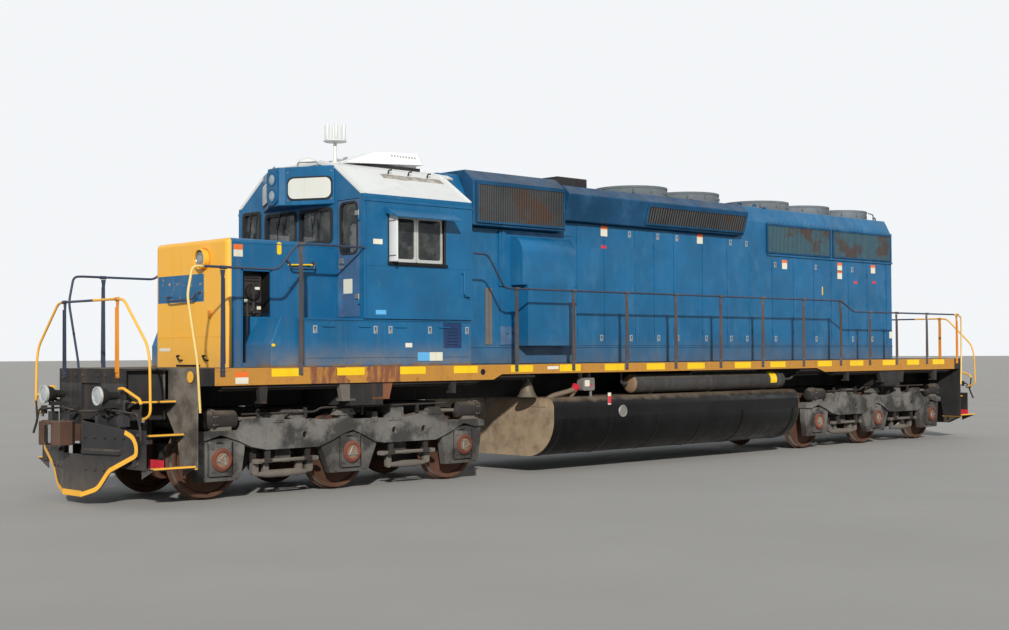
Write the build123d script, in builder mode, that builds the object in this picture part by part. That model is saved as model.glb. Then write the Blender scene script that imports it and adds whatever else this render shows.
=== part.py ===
from build123d import *
from math import cos, radians, sin, sqrt
import os

# A six-axle diesel road locomotive with a low short hood, in millimetres.
# +X is its front, +Y its left side and +Z up. Z 0 is at the tips of the wheel flanges.

# Wheels and axles
flange_height = 28
tread_radius = 508
flange_radius = tread_radius + flange_height
wheel_back = 676.5
flange_width = 32
rim_width = 140
axle_radius = 90
journal_radius = 75
journal_end = 1126
axle_z = flange_radius
rail_top = flange_height

# Trucks
bolster_x = 6630
axle_pitch = 2070
beam_inner = 960
beam_outer = 1150
pedestal_inner = 985
pedestal_outer = 1100
box_half = 160
box_top = 745
box_bottom = 335
tie_bottom = 262
beam_flat = 630
seat_gap = 0.3
bearing_gap = 0.9
transom_u = 1000
transom_half = 120
transom_bottom = 470
transom_top = 860
bolster_bottom = 1030
bolster_top = 1130
arm_u = 850
centre_plate_radius = 330
centre_plate_top = 1150
brake_gap = 12

# Underframe
deck_top = 1705
deck_plate = 25
deck_half = 1524
body_end = 9900
step_x = 9280
sill_thick = 30
sill_deep_bottom = 1485
sill_shallow_bottom = 1560
sill_front_taper = (4135, 4300)
sill_rear_taper = (-4230, -3970)
centre_sill_half = 400
centre_sill_bottom = 1180
end_plate = 30
coupler_face = 10490
coupler_z = rail_top + 876
coupler_pin_x = 9420
coupler_pin_radius = 45
pocket_half = 230
pocket_wall = 30
pocket_top = 1060
pocket_bottom = 720

# Tank and air reservoirs
tank_front = 3050
tank_rear = -3370
tank_bottom = 270
tank_half = deck_half
tank_bottom_round = 580
tank_top_round = 160
reservoir_radius = 155
reservoir_y = 1250
reservoir_z = 1362
reservoir_front = 980
reservoir_rear = -3120

# Hoods
hood_half = 930
hood_rear = -7600
hood_top = 4570
hood_shoulder_z = 4280
hood_shoulder_half = 780
hood_wall = 60
nose_front = 8456
nose_half = 914
nose_top = 3400
niche_front = 8230
niche_rear = 7800
niche_bottom = 2370
niche_top = 2970
niche_depth = 240
filter_front = 4300
filter_rear = 2320
filter_bottom = 3790
filter_edge_z = 4470
filter_top = 4640
filter_half = 1100
hatch_front = 2290
hatch_rear = -2390
hatch_bottom = 3980
hatch_foot_half = 1050
hatch_half = 1170
hatch_edge_z = 4400
hatch_top = 4580

# Cab
cab_front = 6700
cab_rear = 4720
cab_half = deck_half + 6
floor_z = 2350
eave_z = 4050
knee_half = 880
knee_z = 4500
ridge_half = 500
ridge_z = 4590
cab_wall = 60
roof_plate = 50
door_inner = hood_half
door_outer = cab_half - 100
door_bottom = 2375
door_top = 3995
door_gap = 6
door_thick = 40
hinge_out = 12
hinge_y = door_outer - 3
hinge_radius = 11
hinge_length = 70
hinge_levels = (2620, 3760)
hinge_ear = 30
window_front = 6250
window_rear = 5270
window_bottom = 3140
window_top = 3790
pane = 8
battery_outer = deck_half - 24
housing_front = 7120
housing_bottom = 3955
battery_front = 8180

# Fans
fan_ring_radius = 640
fan_ring_wall = 40
fan_ring_height = 190
fan_blade_radius = 570
fan_hub_radius = 150

# Rails and stanchions
rail_y = deck_half + 22
rail_radius = 17
rail_sides = 8
stanchion_width = 50
stanchion_thick = 18
stanchion_foot_z = 1590


def save(part, name):
    part.label = name
    export_step(part, f"parts/{name}.step")


def mirrored(points):
    return points + [(-a, b) for a, b in reversed(points)]


os.makedirs("parts", exist_ok=True)


# Wheelset: axle with two wheels, turned as one body about its axle line
def wheelset(x, name):
    front_face = wheel_back + rim_width
    half = [
        (wheel_back, axle_radius),
        (wheel_back, flange_radius),
        (wheel_back + flange_width, flange_radius),
        (wheel_back + flange_width, tread_radius),
        (front_face, tread_radius),
        (front_face, journal_radius),
        (journal_end, journal_radius),
        (journal_end, 0),
    ]
    line = [(-y, r) for y, r in reversed(half)] + half
    plane = Plane(origin=(x, 0, axle_z), x_dir=(0, 1, 0), z_dir=(1, 0, 0))
    with BuildPart() as unit:
        with BuildSketch(plane):
            with BuildLine():
                Polyline(*line, close=True)
            make_face()
        revolve(axis=Axis((x, 0, axle_z), (0, 1, 0)))
    save(unit.part, name)


# Truck frame: two cast side beams with pedestals, tie bars and two transoms
# Beam outline, columns: forward of the bolster centre, height
beam_outline = [
    (2480, 800), (2480, 880), (2380, 900), (1780, 900), (1700, 1040), (1400, 1050), (990, 1010),
    (620, 1010), (430, 985), (190, 1000), (190, 1090), (0, 1090), (-35, 985), (-430, 980),
    (-1000, 980), (-1400, 1046), (-1610, 1060), (-1780, 900), (-2380, 900), (-2480, 880),
    (-2480, 800), (-2300, 790), (-2075, 849), (-1780, 719), (-1530, beam_flat), (-580, beam_flat),
    (-410, 656), (-220, 755), (-35, 832), (110, 800), (330, 706), (550, beam_flat), (1380, beam_flat),
    (1620, 680), (1800, 760), (2070, 849), (2300, 790),
]
# Pedestals, columns: axle place, half width at the shoulder
pedestals = [(axle_pitch, 380), (0, 480), (-axle_pitch, 380)]
pedestal_shoulder = 640
pedestal_foot_half = 320
pedestal_top = 800
jaw_bottom = box_bottom - 20
jaw_top = box_top + 10
# Core holes in the outer face of the beams, forward of the bolster centre
core_holes = (770, -760, -1300)
core_hole_z = 800
core_hole_radius = 45
core_hole_depth = 60


def truck_frame(centre, name):
    with BuildPart() as frame:
        for side in (1, -1):
            face = Plane(origin=(centre, side * beam_inner, 0), x_dir=(1, 0, 0), z_dir=(0, -1, 0))
            with BuildSketch(face):
                with BuildLine():
                    Polyline(*beam_outline, close=True)
                make_face()
            extrude(amount=-side * (beam_outer - beam_inner))
            inner = Plane(origin=(centre, side * pedestal_inner, 0), x_dir=(1, 0, 0), z_dir=(0, -1, 0))
            with BuildSketch(inner):
                for axle, shoulder_half in pedestals:
                    with BuildLine():
                        Polyline(
                            (axle - shoulder_half, pedestal_top),
                            (axle - shoulder_half, pedestal_shoulder),
                            (axle - pedestal_foot_half, tie_bottom),
                            (axle + pedestal_foot_half, tie_bottom),
                            (axle + shoulder_half, pedestal_shoulder),
                            (axle + shoulder_half, pedestal_top),
                            close=True,
                        )
                    make_face()
                    with Locations((axle, (jaw_bottom + jaw_top) / 2)):
                        Rectangle(2 * box_half, jaw_top - jaw_bottom, mode=Mode.SUBTRACT)
            extrude(amount=-side * (pedestal_outer - pedestal_inner))
            with BuildSketch(face.offset(-side * (beam_outer - beam_inner))):
                with Locations(*[(u, core_hole_z) for u in core_holes]):
                    Circle(core_hole_radius)
            extrude(amount=side * core_hole_depth, mode=Mode.SUBTRACT)
        for u in (transom_u, -transom_u):
            with BuildSketch(Plane.XY.offset(transom_bottom)):
                with Locations((centre + u, 0)):
                    Rectangle(2 * transom_half, 2 * beam_inner)
            extrude(amount=transom_top - transom_bottom)
    save(frame.part, name)


# Journal boxes: castings that slide in the pedestals and carry the axle ends, with round covers
box_inner = 950
box_outer = journal_end + 14
cover_radius = 145
cover_thick = 25


def journal_boxes(centre, name):
    with BuildPart() as boxes:
        for axle, _ in pedestals:
            for side in (1, -1):
                x = centre + axle
                face = Plane(origin=(x, side * box_inner, axle_z), x_dir=(1, 0, 0), z_dir=(0, side, 0))
                with BuildSketch(face):
                    with Locations((0, (box_top + box_bottom) / 2 - axle_z)):
                        Rectangle(2 * (box_half - seat_gap), box_top - box_bottom)
                extrude(amount=box_outer - box_inner)
                with BuildSketch(face.offset(box_outer - box_inner)):
                    Circle(cover_radius)
                extrude(amount=cover_thick)
                with BuildSketch(face):
                    Circle(journal_radius + bearing_gap)
                extrude(amount=journal_end + bearing_gap - box_inner, mode=Mode.SUBTRACT)
    save(boxes.part, name)


# Bolster: H-shaped casting on rubber pads, with the centre plate
bolster_width = 900
arm_width = 260
arm_length = 2160
pad_y = 1050
pad_length = 200
pad_width = 160
# Pads, columns: forward of the bolster centre, height of the beam there
bolster_pads = [(arm_u, 1010), (-arm_u, 980)]


def truck_bolster(centre, name):
    with BuildPart() as bolster:
        with BuildSketch(Plane.XY.offset(bolster_bottom)):
            with Locations((centre, 0)):
                Rectangle(2 * arm_u, bolster_width)
            with Locations((centre + arm_u, 0), (centre - arm_u, 0)):
                Rectangle(arm_width, arm_length)
        extrude(amount=bolster_top - bolster_bottom)
        with BuildSketch(Plane.XY.offset(bolster_top)):
            with Locations((centre, 0)):
                Circle(centre_plate_radius)
        extrude(amount=centre_plate_top - seat_gap - bolster_top)
        for u, top in bolster_pads:
            with BuildSketch(Plane.XY.offset(top)):
                with Locations((centre + u, pad_y), (centre + u, -pad_y)):
                    Rectangle(pad_length, pad_width)
            extrude(amount=bolster_bottom - top)
    save(bolster.part, name)


# Traction motors: axle-hung, each with its nose on a transom
motor_half = 450
motor_radius = 330
support_half = 620
motor_reach = 520
motor_crown = 280
motor_belly = 270
motor_chamfer = 120
motor_neck = 170
motor_neck_start = 60
motor_nose = 60
support_size = 330


def traction_motors(centre, name):
    # Columns: axle place, direction of the motor, distance to its transom's face
    rows = (
        (axle_pitch, -1, axle_pitch - transom_u - transom_half),
        (0, -1, transom_u - transom_half),
        (-axle_pitch, 1, axle_pitch - transom_u - transom_half),
    )
    with BuildPart() as motors:
        for axle, way, reach in rows:
            x = centre + axle
            side_view = Plane(origin=(x, motor_half, axle_z), x_dir=(way, 0, 0), z_dir=(0, -way, 0))
            end = motor_reach + motor_radius
            shoulder = motor_reach - motor_radius + motor_chamfer
            with BuildSketch(side_view):
                with BuildLine():
                    Polyline(
                        (motor_neck_start, motor_neck),
                        (shoulder, motor_crown),
                        (end - motor_chamfer, motor_crown),
                        (end, motor_crown - motor_chamfer),
                        (end, motor_nose),
                        (reach, motor_nose),
                        (reach, -motor_nose),
                        (end, -motor_nose),
                        (end, motor_chamfer - motor_belly),
                        (end - motor_chamfer, -motor_belly),
                        (shoulder, -motor_belly),
                        (motor_neck_start, -motor_neck),
                        close=True,
                    )
                make_face()
            extrude(amount=2 * motor_half * way)
            tube = Plane(origin=(x, support_half, axle_z), x_dir=(1, 0, 0), z_dir=(0, -1, 0))
            with BuildSketch(tube):
                Rectangle(support_size, support_size)
            extrude(amount=2 * support_half)
            with BuildSketch(tube):
                Circle(axle_radius + bearing_gap)
            extrude(amount=2 * support_half, mode=Mode.SUBTRACT)
    save(motors.part, name)


# Brake gear: cylinders on the beams, their rods, and a shoe with its hanger at each wheel
cylinder_radius = 130
cylinder_y = 1060
cylinder_z = 1040
cylinder_seat_bottom = 900
cylinder_seat_height = 60
cylinder_seat_length = 300
cylinder_seat_width = 160
rod_low = 490
rod_high = 1580
rod_z = 460
rod_y = 1085
rod_thick = 40
rod_hanger_width = 50
rod_hanger_low = 200
rod_hanger_high = 250
shoe_thick = 60
shoe_half = 110
shoe_y = 760
shoe_width = 80
shoe_middle = 45
shoe_arm_y = 840
shoe_arm_length = 240
shoe_hanger_y = 935
shoe_hanger_height = 160


def brake_gear(centre, name):
    # Cylinders, columns: rear end, front end
    cylinders = ((1790, 2330), (-2480, -1940))
    with BuildPart() as gear:
        for side in (1, -1):
            for rear, front in cylinders:
                start = Plane(
                    origin=(centre + rear, side * cylinder_y, cylinder_z),
                    x_dir=(0, 1, 0),
                    z_dir=(1, 0, 0),
                )
                with BuildSketch(start):
                    Circle(cylinder_radius)
                extrude(amount=front - rear)
                with BuildSketch(Plane.XY.offset(cylinder_seat_bottom)):
                    with Locations((centre + (rear + front) / 2, side * cylinder_y)):
                        Rectangle(cylinder_seat_length, cylinder_seat_width)
                extrude(amount=cylinder_seat_height)
            # Pull rods along the outside of the pedestals
            for low, high in ((rod_low, rod_high), (-rod_high, -rod_low)):
                with BuildSketch(Plane.XY.offset(rod_z)):
                    with Locations((centre + (low + high) / 2, side * rod_y)):
                        Rectangle(high - low, rod_thick)
                extrude(amount=rod_thick)
                rear_hanger = centre + low + rod_hanger_low
                front_hanger = centre + high - rod_hanger_high
                with BuildSketch(Plane.XY.offset(rod_z)):
                    with Locations((rear_hanger, side * rod_y), (front_hanger, side * rod_y)):
                        Rectangle(rod_hanger_width, rod_thick)
                extrude(amount=beam_flat - rod_z)
            # Shoe with its hanger from the beam, ahead of or behind each wheel
            for axle, way in ((axle_pitch, -1), (0, 1), (-axle_pitch, 1)):
                shoe_x = centre + axle + way * (tread_radius + brake_gap + shoe_middle)
                with BuildSketch(Plane.XY.offset(axle_z - shoe_half)):
                    with Locations((shoe_x, side * shoe_y)):
                        Rectangle(shoe_thick, shoe_width)
                extrude(amount=2 * shoe_half)
                with BuildSketch(Plane.XY.offset(axle_z + shoe_half)):
                    with Locations((shoe_x, side * shoe_arm_y)):
                        Rectangle(shoe_thick, shoe_arm_length)
                extrude(amount=shoe_thick)
                with BuildSketch(Plane.XY.offset(axle_z + shoe_half)):
                    with Locations((shoe_x, side * shoe_hanger_y)):
                        Rectangle(shoe_thick, 2 * (beam_inner - shoe_hanger_y))
                extrude(amount=shoe_hanger_height)
    save(gear.part, name)


for number in range(1, 7):
    truck = bolster_x if number <= 3 else -bolster_x
    place = (1 - (number - 1) % 3) * axle_pitch
    wheelset(truck + place, f"wheelset_{number}")

for end, centre in (("front", bolster_x), ("rear", -bolster_x)):
    truck_frame(centre, f"truck_frame_{end}")
    journal_boxes(centre, f"journal_boxes_{end}")
    truck_bolster(centre, f"truck_bolster_{end}")
    traction_motors(centre, f"traction_motors_{end}")
    brake_gear(centre, f"brake_gear_{end}")


# Underframe: deck, sills, bolsters, draft pockets, and the step wells at its corners
deck_end_half = 860
# Steps, columns: top of the tread, half width where its nosing lies
steps = [(500, deck_half - 4), (885, 1240), (1290, 1050)]
tread_plate = 20
tread_going = 300
well_plate = 16
well_inner_y = 760
well_inner_bottom = 1060
well_wheel_top = 1060
well_wheel_foot = 1130
well_overlap = 20
fascia_bottom = 1520
bolster_block = 560
centre_bearing = 800
pocket_behind_pin = 250

with BuildPart() as underframe:
    with BuildSketch(Plane.XY.offset(deck_top - deck_plate)):
        Rectangle(2 * step_x, 2 * deck_half)
        Rectangle(2 * body_end, 2 * deck_end_half)
    extrude(amount=deck_plate)
    with BuildSketch(Plane.XZ.offset(-deck_half)):
        with BuildLine():
            Polyline(
                (-step_x, deck_top - deck_plate),
                (-step_x, sill_deep_bottom),
                (sill_rear_taper[0], sill_deep_bottom),
                (sill_rear_taper[1], sill_shallow_bottom),
                (sill_front_taper[0], sill_shallow_bottom),
                (sill_front_taper[1], sill_deep_bottom),
                (step_x, sill_deep_bottom),
                (step_x, deck_top - deck_plate),
                close=True,
            )
        make_face()
    extrude(amount=sill_thick)
    mirror(about=Plane.XZ)
    with BuildSketch(Plane.XY.offset(centre_sill_bottom)):
        Rectangle(2 * (body_end - end_plate), 2 * centre_sill_half)
    extrude(amount=deck_top - deck_plate - centre_sill_bottom)
    for x in (bolster_x, -bolster_x):
        with BuildSketch(Plane.XY.offset(centre_sill_bottom)):
            with Locations((x, 0)):
                Rectangle(bolster_block, 2 * (deck_half - sill_thick))
        extrude(amount=deck_top - deck_plate - centre_sill_bottom)
        with BuildSketch(Plane.XY.offset(centre_plate_top)):
            with Locations((x, 0)):
                Rectangle(centre_bearing, centre_bearing)
        extrude(amount=centre_sill_bottom - centre_plate_top)
    for end in (1, -1):
        middle = end * (coupler_pin_x - pocket_behind_pin + body_end) / 2
        length = body_end - coupler_pin_x + pocket_behind_pin
        # Draft pocket: a box open at the front, with the coupler's pin across it
        with BuildSketch(Plane.XY.offset(pocket_bottom)):
            with Locations((middle, 0)):
                Rectangle(length, 2 * (pocket_half + pocket_wall))
        extrude(amount=centre_sill_bottom - pocket_bottom)
        with BuildSketch(Plane.XY.offset(pocket_bottom + pocket_wall)):
            with Locations((middle + end * pocket_wall, 0)):
                Rectangle(length, 2 * pocket_half)
        extrude(amount=pocket_top - pocket_bottom - pocket_wall, mode=Mode.SUBTRACT)
        with BuildSketch(Plane.XY.offset(pocket_bottom + pocket_wall)):
            with Locations((end * coupler_pin_x, 0)):
                Circle(coupler_pin_radius)
        extrude(amount=pocket_top - pocket_bottom - pocket_wall)
        # Anti-climber across the end, over the step wells
        with BuildSketch(Plane.XY.offset(fascia_bottom)):
            with Locations((end * (body_end - end_plate / 2), 0)):
                Rectangle(end_plate, 2 * deck_end_half)
        extrude(amount=deck_top - deck_plate - fascia_bottom)
        for side in (1, -1):
            # Rear plate of the well, cut away towards the wheel
            well = Plane(origin=(end * step_x, 0, 0), x_dir=(0, side, 0), z_dir=(side, 0, 0))
            with BuildSketch(well):
                with BuildLine():
                    Polyline(
                        (deck_half, steps[0][0] - tread_plate),
                        (deck_half, deck_top - deck_plate),
                        (deck_end_half - well_overlap, deck_top - deck_plate),
                        (deck_end_half - well_overlap, steps[2][0] + well_overlap),
                        (steps[2][1] - tread_going - well_overlap, steps[2][0] + well_overlap),
                        (steps[2][1] - tread_going - well_overlap, steps[2][0] - 3 * tread_plate),
                        (well_wheel_top, steps[1][0] - 4 * tread_plate),
                        (well_wheel_foot, steps[0][0] - tread_plate),
                        close=True,
                    )
                make_face()
            extrude(amount=-end * side * well_plate)
            well_length = body_end - end_plate - step_x
            well_middle = end * (step_x + well_length / 2)
            for top, nosing in steps:
                with BuildSketch(Plane.XY.offset(top - tread_plate)):
                    with Locations((well_middle, side * (nosing - tread_going / 2))):
                        Rectangle(well_length, tread_going)
                extrude(amount=tread_plate)
            # Inner plate of the well
            with BuildSketch(Plane.XY.offset(well_inner_bottom)):
                with Locations((well_middle, side * well_inner_y)):
                    Rectangle(well_length, well_plate)
            extrude(amount=deck_top - deck_plate - well_inner_bottom)
save(underframe.part, "underframe")


# Pilots: the front plow and the rear pilot plate, bolted to the end plates
plow_reach = body_end + 250
plow_slope = 0.22
plow_inner = 235
plow_plate = 20
plow_foot = 110
plow_middle_top = 640
plow_lap = 15
# Plow outline, columns: half width, height
plow_outline = [
    (240, 1060), (1050, 960), (1200, 900), (1270, 790), (1270, 640),
    (780, 437), (740, 400), (560, 200), (240, plow_foot),
]
# Brackets behind the plow, columns: place across, bottom, top
plow_brackets = [(700, 520, 940), (1150, 520, 880)]
bracket_thick = 30
# Backing plates on the ends of the body, columns: middle, width, bottom, top
backing_plates = [(1000, 700, 480, 960), (560, 600, 920, fascia_bottom)]
# Rear plate outline, columns: half width, height
rear_outline = [(900, 300), (1300, 480), (1300, 960), (270, 960), (270, 700)]
with BuildPart() as pilots:
    # Each half of the plow leans back from the middle
    for side in (1, -1):
        wing = Plane(
            origin=(plow_reach, side * plow_inner, 0),
            x_dir=(-plow_slope, side, 0),
            z_dir=(side, plow_slope, 0),
        )
        with BuildSketch(wing):
            with BuildLine():
                Polyline(*[(half - plow_inner, z) for half, z in plow_outline], close=True)
            make_face()
        extrude(amount=-plow_plate * side)
        # Lap of each half on the flat middle, under the coupler
        middle_face = plow_reach - plow_slope * plow_lap
        with BuildSketch(Plane.YZ.offset(middle_face - plow_plate)):
            with Locations((side * (plow_inner + plow_lap) / 2, (plow_foot + plow_middle_top) / 2)):
                Rectangle(plow_inner + plow_lap, plow_middle_top - plow_foot)
        extrude(amount=plow_plate)
        for y, low, high in plow_brackets:
            reach = plow_reach - (y - plow_inner) * plow_slope - plow_plate / 2 - body_end
            with BuildSketch(Plane.XY.offset(low)):
                with Locations((body_end + reach / 2, side * y)):
                    Rectangle(reach, bracket_thick)
            extrude(amount=high - low)
    for end in (1, -1):
        x = end * (body_end - end_plate / 2)
        for y, width, low, high in backing_plates:
            with BuildSketch(Plane.XY.offset(low)):
                with Locations((x, y), (x, -y)):
                    Rectangle(end_plate, width)
            extrude(amount=high - low)
    with BuildSketch(Plane.YZ.offset(-body_end - plow_plate)):
        with BuildLine():
            Polyline(*mirrored(rear_outline), close=True)
        make_face()
    extrude(amount=plow_plate)
save(pilots.part, "pilots")


# Couplers: shank on its pin, head with knuckle
shank_half = 85
shank_height = 180
head_height = 300
head_length = 260
pin_boss = 70
# Head from above, columns: behind the coupler's face, to its left
head_outline = [
    (330, 95), (260, 160), (90, 175), (0, 130), (20, 20), (90, 10), (110, -70), (50, -120), (0, -230),
    (90, -260), (240, -170), (330, -95),
]


def coupler(end, name):
    shank_end = coupler_face - head_length
    with BuildPart() as unit:
        with BuildSketch(Plane.XY.offset(coupler_z - shank_height / 2)):
            with Locations((end * coupler_pin_x, 0)):
                Circle(coupler_pin_radius + pin_boss)
            with Locations((end * (coupler_pin_x + shank_end) / 2, 0)):
                Rectangle(shank_end - coupler_pin_x, 2 * shank_half)
        extrude(amount=shank_height)
        with BuildSketch(Plane.XY.offset(coupler_z - head_height / 2)):
            head = [(end * (coupler_face - back), end * left) for back, left in head_outline]
            with BuildLine():
                Polyline(*head, close=True)
            make_face()
        extrude(amount=head_height)
        with BuildSketch(Plane.XY.offset(coupler_z - shank_height / 2)):
            with Locations((end * coupler_pin_x, 0)):
                Circle(coupler_pin_radius + bearing_gap)
        extrude(amount=shank_height, mode=Mode.SUBTRACT)
    save(unit.part, name)


coupler(1, "coupler_front")
coupler(-1, "coupler_rear")


# Fuel tank with rounded sides and its two fillers
filler_x = 2390
filler_y = 1200
filler_z = 1120
filler_radius = 45
filler_length = 260
with BuildPart() as fuel_tank:
    with BuildSketch(Plane.YZ.offset(tank_rear)) as tank_section:
        with Locations((0, (centre_sill_bottom + tank_bottom) / 2)):
            Rectangle(2 * tank_half, centre_sill_bottom - tank_bottom)
        fillet(tank_section.vertices().group_by(Axis.Y)[-1], radius=tank_top_round)
        fillet(tank_section.vertices().group_by(Axis.Y)[0], radius=tank_bottom_round)
    extrude(amount=tank_front - tank_rear)
    for side in (1, -1):
        with BuildSketch(Plane(origin=(filler_x, side * filler_y, filler_z), z_dir=(0, side * 0.6, 0.8))):
            Circle(filler_radius)
        extrude(amount=filler_length)
save(fuel_tank.part, "fuel_tank")


# Main air reservoirs on saddles over the tank
saddle_inner = 1060
saddle_width = 60
saddle_inset = 500
with BuildPart() as reservoirs:
    for side in (1, -1):
        with BuildSketch(Plane.YZ.offset(reservoir_rear)):
            with Locations((side * reservoir_y, reservoir_z)):
                Circle(reservoir_radius)
        extrude(amount=reservoir_front - reservoir_rear)
        middle = (reservoir_front + reservoir_rear) / 2
        for x in (reservoir_front - saddle_inset, middle, reservoir_rear + saddle_inset):
            with BuildSketch(Plane.XZ.offset(-side * saddle_inner)):
                with Locations((x, (centre_sill_bottom + reservoir_z) / 2)):
                    Rectangle(saddle_width, reservoir_z - centre_sill_bottom)
            extrude(amount=-side * (reservoir_y - saddle_inner))
save(reservoirs.part, "main_reservoirs")


# Bell on its bracket under the deck
bell_x = 3250
bell_y = 1150
bell_bottom = 1195
bell_height = 230
bell_post = 60
# Bell section, columns: radius, height over its mouth, from the lip over the outside to the inside
bell_section = [(150, 0), (110, 90), (66, bell_height), (0, bell_height), (0, 205), (46, 205), (132, 0)]
with BuildPart() as bell:
    with BuildSketch(Plane(origin=(bell_x, bell_y, bell_bottom), x_dir=(1, 0, 0), z_dir=(0, -1, 0))):
        with BuildLine():
            Polyline(*bell_section, close=True)
        make_face()
    revolve(axis=Axis((bell_x, bell_y, 0), (0, 0, 1)))
    with BuildSketch(Plane.XY.offset(bell_bottom + bell_height)):
        with Locations((bell_x, bell_y)):
            Rectangle(bell_post, bell_post)
    extrude(amount=deck_top - deck_plate - bell_bottom - bell_height)
save(bell.part, "bell")


# Short hood with the hand brake's niche
nose_corner_round = 70
nose_top_round = 60
chain_slot_width = 120
chain_slot_foot = 60
cut_over = 5
with BuildPart() as short_hood:
    with BuildSketch(Plane.XY.offset(deck_top)):
        with Locations(((nose_front + cab_front) / 2, 0)):
            Rectangle(nose_front - cab_front, 2 * nose_half)
    extrude(amount=nose_top - deck_top)
    fillet(short_hood.edges().filter_by(Axis.Z).group_by(Axis.X)[-1], radius=nose_corner_round)
    top_edges = short_hood.faces().sort_by(Axis.Z)[-1].edges()
    fillet(top_edges.filter_by(lambda e: e.center().X > cab_front + 1), radius=nose_top_round)
    with BuildSketch(Plane.XZ.offset(-nose_half - cut_over)):
        with Locations(((niche_front + niche_rear) / 2, (niche_top + niche_bottom) / 2)):
            Rectangle(niche_front - niche_rear, niche_top - niche_bottom)
        slot_height = niche_bottom - deck_top - chain_slot_foot
        with Locations((niche_front - chain_slot_width / 2, niche_bottom - slot_height / 2)):
            Rectangle(chain_slot_width, slot_height)
    extrude(amount=niche_depth, mode=Mode.SUBTRACT)
save(short_hood.part, "short_hood")


# Hand brake: ratchet housing and lever in the niche
brake_x = (niche_front + niche_rear) / 2 - 5
brake_case = (280, 380, 120)
brake_case_z = 2760
brake_hub_radius = 110
brake_hub_z = 2700
brake_hub_depth = 60
brake_lever = (40, 420, 25)
brake_lever_z = 2620
with BuildPart() as hand_brake:
    niche_floor = nose_half + cut_over - niche_depth
    with BuildSketch(Plane.XZ.offset(-niche_floor)):
        with Locations((brake_x, brake_case_z)):
            Rectangle(brake_case[0], brake_case[1])
    extrude(amount=-brake_case[2])
    with BuildSketch(Plane.XZ.offset(-niche_floor - brake_case[2])):
        with Locations((brake_x, brake_hub_z)):
            Circle(brake_hub_radius)
    extrude(amount=-brake_hub_depth)
    with BuildSketch(Plane.XZ.offset(-niche_floor - brake_case[2] - brake_hub_depth)):
        with Locations((brake_x + brake_lever[0] / 2, brake_lever_z)):
            Rectangle(brake_lever[0], brake_lever[1])
    extrude(amount=-brake_lever[2])
save(hand_brake.part, "hand_brake")


# Battery boxes beside the short hood and under the cab
# Lids, columns: rear edge, front edge
battery_lids = [(4790, 5560), (5580, 6330), (6365, 7000), (7020, 7640)]
lid_z = 2060
lid_height = 480
lid_thick = 8
battery_slope = 145
battery_slope_z = 2000
with BuildPart() as battery_boxes:
    for side in (1, -1):
        with BuildSketch(Plane.XZ.offset(-side * nose_half)):
            with BuildLine():
                Polyline(
                    (cab_rear, deck_top),
                    (cab_rear, floor_z),
                    (battery_front - battery_slope, floor_z),
                    (battery_front, battery_slope_z),
                    (battery_front, deck_top),
                    close=True,
                )
            make_face()
        extrude(amount=-side * (battery_outer - nose_half))
        for rear, front in battery_lids:
            with BuildSketch(Plane.XZ.offset(-side * battery_outer)):
                with Locations(((rear + front) / 2, lid_z)):
                    Rectangle(front - rear, lid_height)
            extrude(amount=-side * lid_thick)
save(battery_boxes.part, "battery_boxes")


# Cab floor on its closed base between the battery boxes
with BuildPart() as cab_floor:
    with BuildSketch(Plane.XY.offset(deck_top)):
        with Locations(((cab_front + cab_rear) / 2, 0)):
            Rectangle(cab_front - cab_rear, 2 * nose_half)
    extrude(amount=floor_z - deck_top)
save(cab_floor.part, "cab_floor")


# Cab shell: four walls with their doorways and windows
def roof_line(drop):
    return [(cab_half, eave_z - drop), (knee_half, knee_z - drop), (ridge_half, ridge_z - drop)]


wall_top = roof_line(roof_plate)
slope = (knee_z - eave_z) / (cab_half - knee_half)
cavity_top = [(cab_half - cab_wall, eave_z - roof_plate + cab_wall * slope)] + wall_top[1:]
# Front and rear windows, columns: wall, from y, to y, bottom, top
end_windows = [
    (cab_front, 60, 800, 3450, 3890),
    (cab_front, -800, -60, 3450, 3890),
    (cab_front, -door_outer + 40, -door_inner - 30, 3230, 3960),
    (cab_rear, door_inner + 30, door_outer - 40, 3230, 3900),
]
# Doorways, columns: wall, from y, to y
doorways = [(cab_front, door_inner, door_outer), (cab_rear, -door_outer, -door_inner)]

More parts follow.
